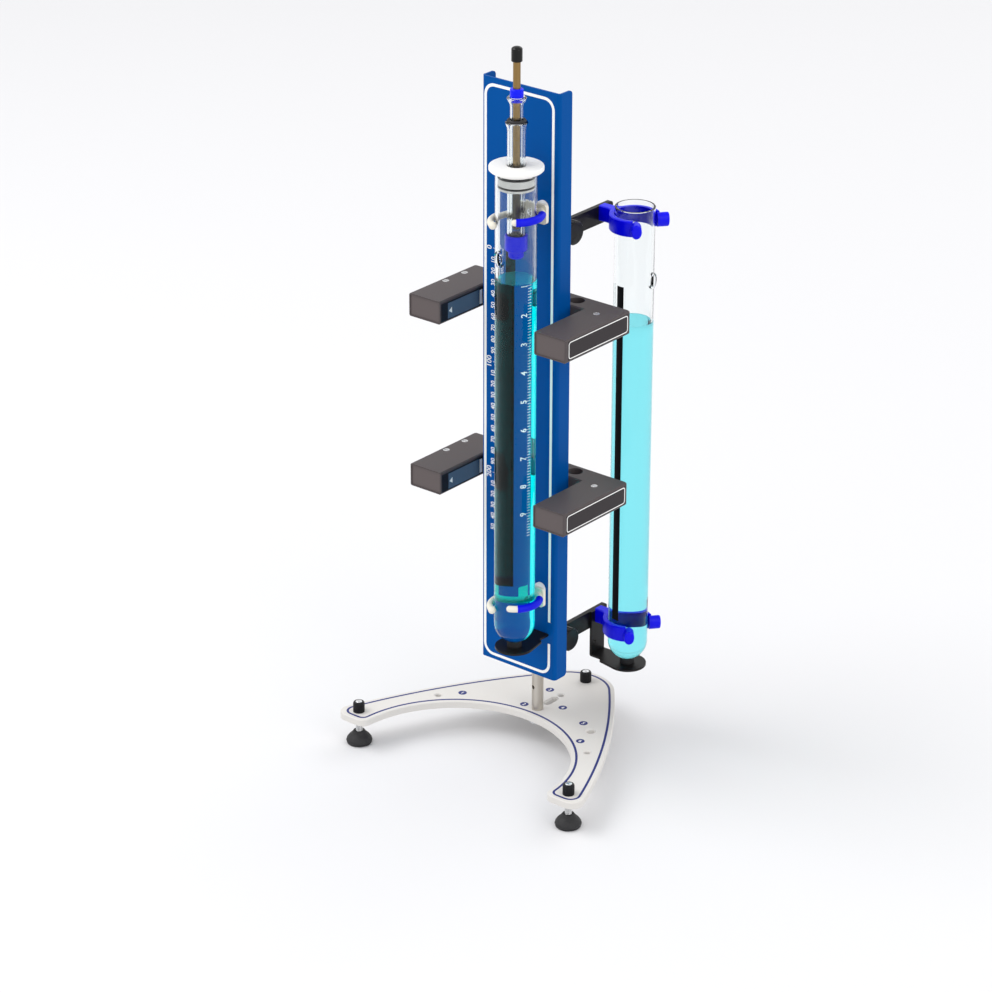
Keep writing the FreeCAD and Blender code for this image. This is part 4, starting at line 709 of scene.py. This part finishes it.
class VISCO_OT_panel_print(bpy.types.Operator):
    """Border line, millimetre ticks and numbers on the panel."""
    bl_idname = "visco.panel_print"
    bl_label = "Print on the panel"

    def execute(self, context):
        p = context.scene.visco_panel
        ink = screen_ink("white_screen_ink", tuple(p.ink))
        path = rounded_path(p.left / MM, p.right / MM, p.bottom / MM, p.top / MM, p.corner / MM)
        ends = np.array([[p.right / MM, p.gap_high / MM], [p.right / MM, p.gap_low / MM]])
        whole = np.concatenate([ends[:1], path, ends[1:]])
        parts = [flat_line(whole, p.line / MM, closed=False), self.ticks(p)]
        zero = p.zero / MM
        for tens in range(int(round(p.span / MM / 10.0)) + 1):
            hundred = tens % 10 == 0
            size = (p.digit_100 if hundred else p.digit) / MM
            text = str(tens * 10) if hundred else str(tens % 10 * 10)
            place = (p.hundreds if hundred else p.tens) / MM
            parts.append(shifted(number(text, size, True), place, zero - 10.0 * tens))
        points, faces = gather(parts)
        finish_piece("panel_print", on_panel(points), faces, ink, "stand")
        return {"FINISHED"}

    def ticks(self, p, lead=2.6):
        """Bars at every millimetre below zero, longer at five and ten, and by lead at a hundred."""
        k = np.arange(int(round(p.span / MM)) + 1)
        reach = np.where(k % 10 == 0, p.tick_10, np.where(k % 5 == 0, p.tick_5, p.tick_1)) / MM
        height = p.zero / MM - k
        half = p.tick / MM / 2.0
        start = p.ticks / MM
        return flat_bars(np.where(k % 100 == 0, start - lead, start), start + reach, height - half,
                         height + half)


class VISCO_OT_tube_scale(bpy.types.Operator):
    """Ticks and numbers on the front tube, the rest of its dark film, and the thin line on the rear tube."""
    bl_idname = "visco.tube_scale"
    bl_label = "Print on the tubes"

    def execute(self, context):
        p = context.scene.visco_tube
        ink = screen_ink("pale_glass_ink", tuple(p.ink))
        points, faces = self.scale(p)
        finish_piece("front_tube_scale", on_tube(points, "front"), faces, ink, "front_tube")
        points, faces = self.film(p.film_end / MM)
        finish_piece("front_film_edge", on_tube(points, "front"), faces,
                     bpy.data.materials["black_vinyl_film"], "front_tube")
        points, faces = self.line()
        finish_piece("rear_tube_line", on_tube(points, "rear"), faces, ink, "rear_tube")
        return {"FINISHED"}

    def scale(self, p, first_long=8, lowest_number=9, aside=6.8, down=0.2):
        """Bars one step apart, every tenth of them long with a number on its left, the lowest the largest."""
        heights = np.arange(p.low, p.high + 1e-6, p.step) / MM
        k = np.arange(len(heights))
        long = k % 10 == first_long
        reach = np.where(long, p.tall, p.short) / MM
        end = p.ticks_at * TUBE_RADIUS
        half = p.tick / MM / 2.0
        parts = [flat_bars(end - reach, np.full(len(k), end), heights - half, heights + half)]
        for i, height in enumerate(heights[long]):
            digit = number(str(lowest_number - i), p.digit / MM, True)
            parts.append(shifted(digit, end - aside, height - down))
        return gather(parts)

    def film(self, below, edge=-139.2, strip=(-131.8, -108.2), bars=8, height=0.2):
        """Film round the solid strip: one tall bar from edge to the strip, and short bars under the strip."""
        low, high = box_of("front_strip")
        turns = np.concatenate([[edge], np.linspace(*strip, bars + 1)])
        cut = np.radians(turns) * TUBE_RADIUS
        top = np.concatenate([[high[2]], np.full(bars, low[2])])
        return flat_bars(cut[:-1], cut[1:], np.full(bars + 1, low[2] - below), top, height)

    def line(self, direction=-36.0, width=1.0, low=86.0, high=414.0):
        """One upright bar, its direction in degrees from the front."""
        middle = math.radians(direction) * TUBE_RADIUS
        return flat_bars([middle - width / 2.0], [middle + width / 2.0], [low], [high])


class VISCO_OT_liquids(bpy.types.Operator):
    """The two liquids with their curved surfaces."""
    bl_idname = "visco.liquids"
    bl_label = "Liquids"

    def execute(self, context):
        p = context.scene.visco_liquid
        skin = 0.1
        for side, level, rgb in (("front", p.front_level, p.front), ("rear", p.rear_level, p.rear)):
            points, faces = self.liquid(bowl_of(side), level / MM, p.creep / MM)
            dye = coloured_liquid("dyed_water_%s" % side, tuple(rgb), level - skin * MM)
            finish_piece("%s_liquid" % side, points, faces, dye, "%s_tube" % side, True)
        return {"FINISHED"}

    def liquid(self, centre, level, creep, lap=0.04, fade=1.1):
        """Round bottom, straight wall and a surface that climbs the wall as a curve decaying over fade.

        It laps into the glass by a hair, so that no air shows between them.
        """
        radius = TUBE_BORE + lap
        turn = np.linspace(0.0, math.pi / 2.0, 14)
        bowl = np.column_stack([radius * np.sin(turn), centre[2] - radius * np.cos(turn)])
        wall = np.column_stack([np.full(20, radius), np.linspace(centre[2], level + creep, 21)[1:]])
        r = np.concatenate([radius - np.array([0.3, 0.7, 1.2, 1.9, 2.8, 4.0]), [radius * 0.5, 0.0]])
        surface = np.column_stack([r, level + creep * np.exp(-(radius - r) / fade)])
        return lathe(np.concatenate([bowl, wall, surface]), centre[:2], 96)


class VISCO_OT_gate_labels(bpy.types.Operator):
    """Bare labels on the arms of the light gates."""
    bl_idname = "visco.gate_labels"
    bl_label = "Labels of the gates"

    def execute(self, context):
        p = context.scene.visco_label
        ink = bpy.data.materials["white_screen_ink"]
        slate = moulded("slate_polyester_label", tuple(p.slate), 0.4, 0.6, 0.01)
        dark = moulded("dark_polyester_label", tuple(p.dark), 0.45, 0.6, 0.01, 0.1)
        black = moulded("black_label_frame", linear("1B1D20"), 0.4, 0.6, 0.01)
        for gate in ("upper", "lower"):
            low, high = box_of("gate_%s_housing" % gate)
            body = "gate_%s" % gate
            mid = (low[2] + high[2]) / 2.0

            # Outer face of the right arm: a dark label, set in from the housing's ends, with a line round it
            front, back, half, inset, corner = low[1] + 3.0, high[1] - 3.6, 8.0, 1.0, 2.2
            outline = rounded_path(front + inset, back - inset, mid - half + inset, mid + half - inset,
                                   corner)
            points, faces = flat_line(outline, p.gate_line / MM)
            finish_piece("%s_border" % body, on_side(points, high[0] + PROUD), faces, ink, body)
            points, faces = self.bare(mid, front, back, half, half)
            finish_piece("%s_plate" % body, on_side(points, high[0]), faces, dark, body)

            # Inner face of the left arm: black frame, slate label on it, arrow and bar on that
            face, frame_front = -45.6, low[1] + 1.5
            points, faces = self.bare(mid, frame_front, -12.0, 8.2, 7.4)
            finish_piece("%s_inner_frame" % body, on_side(points, face), faces, black, body)
            points, faces = self.bare(mid, -63.8, -24.0, 7.6, 6.0)
            finish_piece("%s_inner_label" % body, on_side(points, face + PROUD), faces, slate, body)
            points, faces = gather([self.arrow(mid - 1.0, -62.6, -58.8, 2.6),
                                    self.bare(mid, -23.4, -20.0, 7.0, 5.4)])
            finish_piece("%s_arrow" % body, on_side(points, face + 2.0 * PROUD), faces, ink, body)
        return {"FINISHED"}

    def bare(self, mid, front, back, below, above):
        """Flat label from front to back along Y, reaching below and above the gate's middle."""
        return flat_bars([front], [back], [mid - below], [mid + above])

    def arrow(self, middle, tip, back, half):
        """Triangle whose tip points to the front: three corners below and three above."""
        flat = np.array([[tip, middle], [back, middle - half], [back, middle + half]])
        points = np.concatenate([np.column_stack([flat, np.zeros(3)]),
                                 np.column_stack([flat, np.full(3, PROUD)])])
        return points, [(0, 2, 1), (3, 4, 5), (0, 1, 4, 3), (1, 2, 5, 4), (2, 0, 3, 5)]


class VISCO_OT_plate_print(bpy.types.Operator):
    """Border line and round number marks on the base plate."""
    bl_idname = "visco.plate_print"
    bl_label = "Print on the plate"

    def execute(self, context):
        p = context.scene.visco_label
        ink = screen_ink("dark_blue_screen_ink", tuple(p.ink))
        white = bpy.data.materials["white_screen_ink"]
        outline = plate_border(p.plate_inset / MM)
        # Place along X and Y, and number of each round mark
        marks = ((-68.4, -18.8, "1"), (-13.7, -1.2, "2"), (-13.5, 34.0, "3"), (15.9, 14.9, "4"),
                 (47.4, 3.7, "5"), (65.4, -23.4, "6"))
        digit = 3.8
        parts = [flat_line(outline, p.plate_line / MM)]
        parts += [disc((x, y), p.mark / MM) for x, y, text in marks]
        points, faces = gather(parts)
        finish_piece("plate_print", on_plate(points), faces, ink, "stand")
        parts = [shifted(number(text, digit), x, y, PROUD) for x, y, text in marks]
        points, faces = gather(parts)
        finish_piece("plate_numbers", on_plate(points), faces, white, "stand")
        return {"FINISHED"}


def plate_border(inset):
    """Border of the plate, moved inwards: rear arc, two long side arcs, rounded tips and the bay's arc.

    Each arc is a centre plus its radius times the cosine and sine of the turn. The right half is worked out
    from the places where neighbouring arcs touch, and the left half mirrors it. The solid has the same sizes.
    """
    back_y, back_r, side_r = 44.4, 39.0, 604.5
    tip_x, tip_y, bay_y, bay_r = 135.0, -114.5, -112.0, 98.5
    apart = math.hypot(tip_x, tip_y - back_y)
    ux, uy = tip_x / apart, (tip_y - back_y) / apart
    along = ((side_r - back_r) ** 2 - side_r ** 2 + apart ** 2) / (2.0 * apart)
    across = math.sqrt((side_r - back_r) ** 2 - along ** 2)
    cx, cy = along * ux + across * uy, back_y + along * uy - across * ux
    side = side_r - inset
    bay = bay_r + inset
    front = tip_y + inset
    out_r, in_r = 10.0 - inset * 0.5, 8.0 - inset * 0.5
    touch = math.atan2(back_y - cy, -cx)
    rear = np.linspace(math.pi / 2.0, touch, 16)
    rear = np.column_stack([(back_r - inset) * np.cos(rear), back_y + (back_r - inset) * np.sin(rear)])
    reach = side - out_r
    oy = front + out_r
    ox = cx + math.sqrt(reach ** 2 - (oy - cy) ** 2)
    end = math.atan2(oy - cy, ox - cx)
    long = np.linspace(touch, end, 40)
    long = np.column_stack([cx + side * np.cos(long), cy + side * np.sin(long)])
    outer = np.linspace(end, -math.pi / 2.0, 10)
    outer = np.column_stack([ox + out_r * np.cos(outer), oy + out_r * np.sin(outer)])
    iy = front + in_r
    ix = math.sqrt((bay + in_r) ** 2 - (iy - bay_y) ** 2)
    meet = math.atan2(iy - bay_y, ix)
    inner = np.linspace(-math.pi / 2.0, meet - math.pi, 10)
    inner = np.column_stack([ix + in_r * np.cos(inner), iy + in_r * np.sin(inner)])
    arc = np.linspace(meet, math.pi / 2.0, 30)
    arc = np.column_stack([bay * np.cos(arc), bay_y + bay * np.sin(arc)])
    half = np.concatenate([rear, long[1:], outer[1:], inner, arc[1:]])
    return np.concatenate([half, (half * (-1.0, 1.0))[-2:0:-1]])


class VISCO_PT_panel(bpy.types.Panel):
    """List of the steps in the sidebar."""
    bl_idname = "VISCO_PT_panel"
    bl_label = "Viscometer"
    bl_space_type = "VIEW_3D"
    bl_region_type = "UI"
    bl_category = "Viscometer"

    def draw(self, context):
        for operator in OPERATORS:
            self.layout.operator(operator.bl_idname)


GROUPS = {"visco_panel": PanelPrint, "visco_tube": TubeScale, "visco_liquid": LiquidLook,
          "visco_label": LabelPrint, "visco_paint": PaintLook, "visco_stage": StageLook}
OPERATORS = (VISCO_OT_stage, VISCO_OT_finishes, VISCO_OT_foot_threads, VISCO_OT_panel_print,
             VISCO_OT_tube_scale, VISCO_OT_liquids, VISCO_OT_gate_labels, VISCO_OT_plate_print)


def register():
    """Registers the settings, the steps and the sidebar."""
    for name, group in GROUPS.items():
        bpy.utils.register_class(group)
        setattr(bpy.types.Scene, name, PointerProperty(type=group))
    for operator in OPERATORS:
        bpy.utils.register_class(operator)
    bpy.utils.register_class(VISCO_PT_panel)


def unregister():
    """Takes all of it away again."""
    bpy.utils.unregister_class(VISCO_PT_panel)
    for operator in reversed(OPERATORS):
        bpy.utils.unregister_class(operator)
    for name, group in GROUPS.items():
        delattr(bpy.types.Scene, name)
        bpy.utils.unregister_class(group)


def main():
    """Runs every step in order."""
    register()
    bpy.ops.visco.stage()
    bpy.ops.visco.finishes()
    bpy.ops.visco.foot_threads()
    bpy.ops.visco.panel_print()
    bpy.ops.visco.tube_scale()
    bpy.ops.visco.liquids()
    bpy.ops.visco.gate_labels()
    bpy.ops.visco.plate_print()


if __name__ == "__main__":
    main()
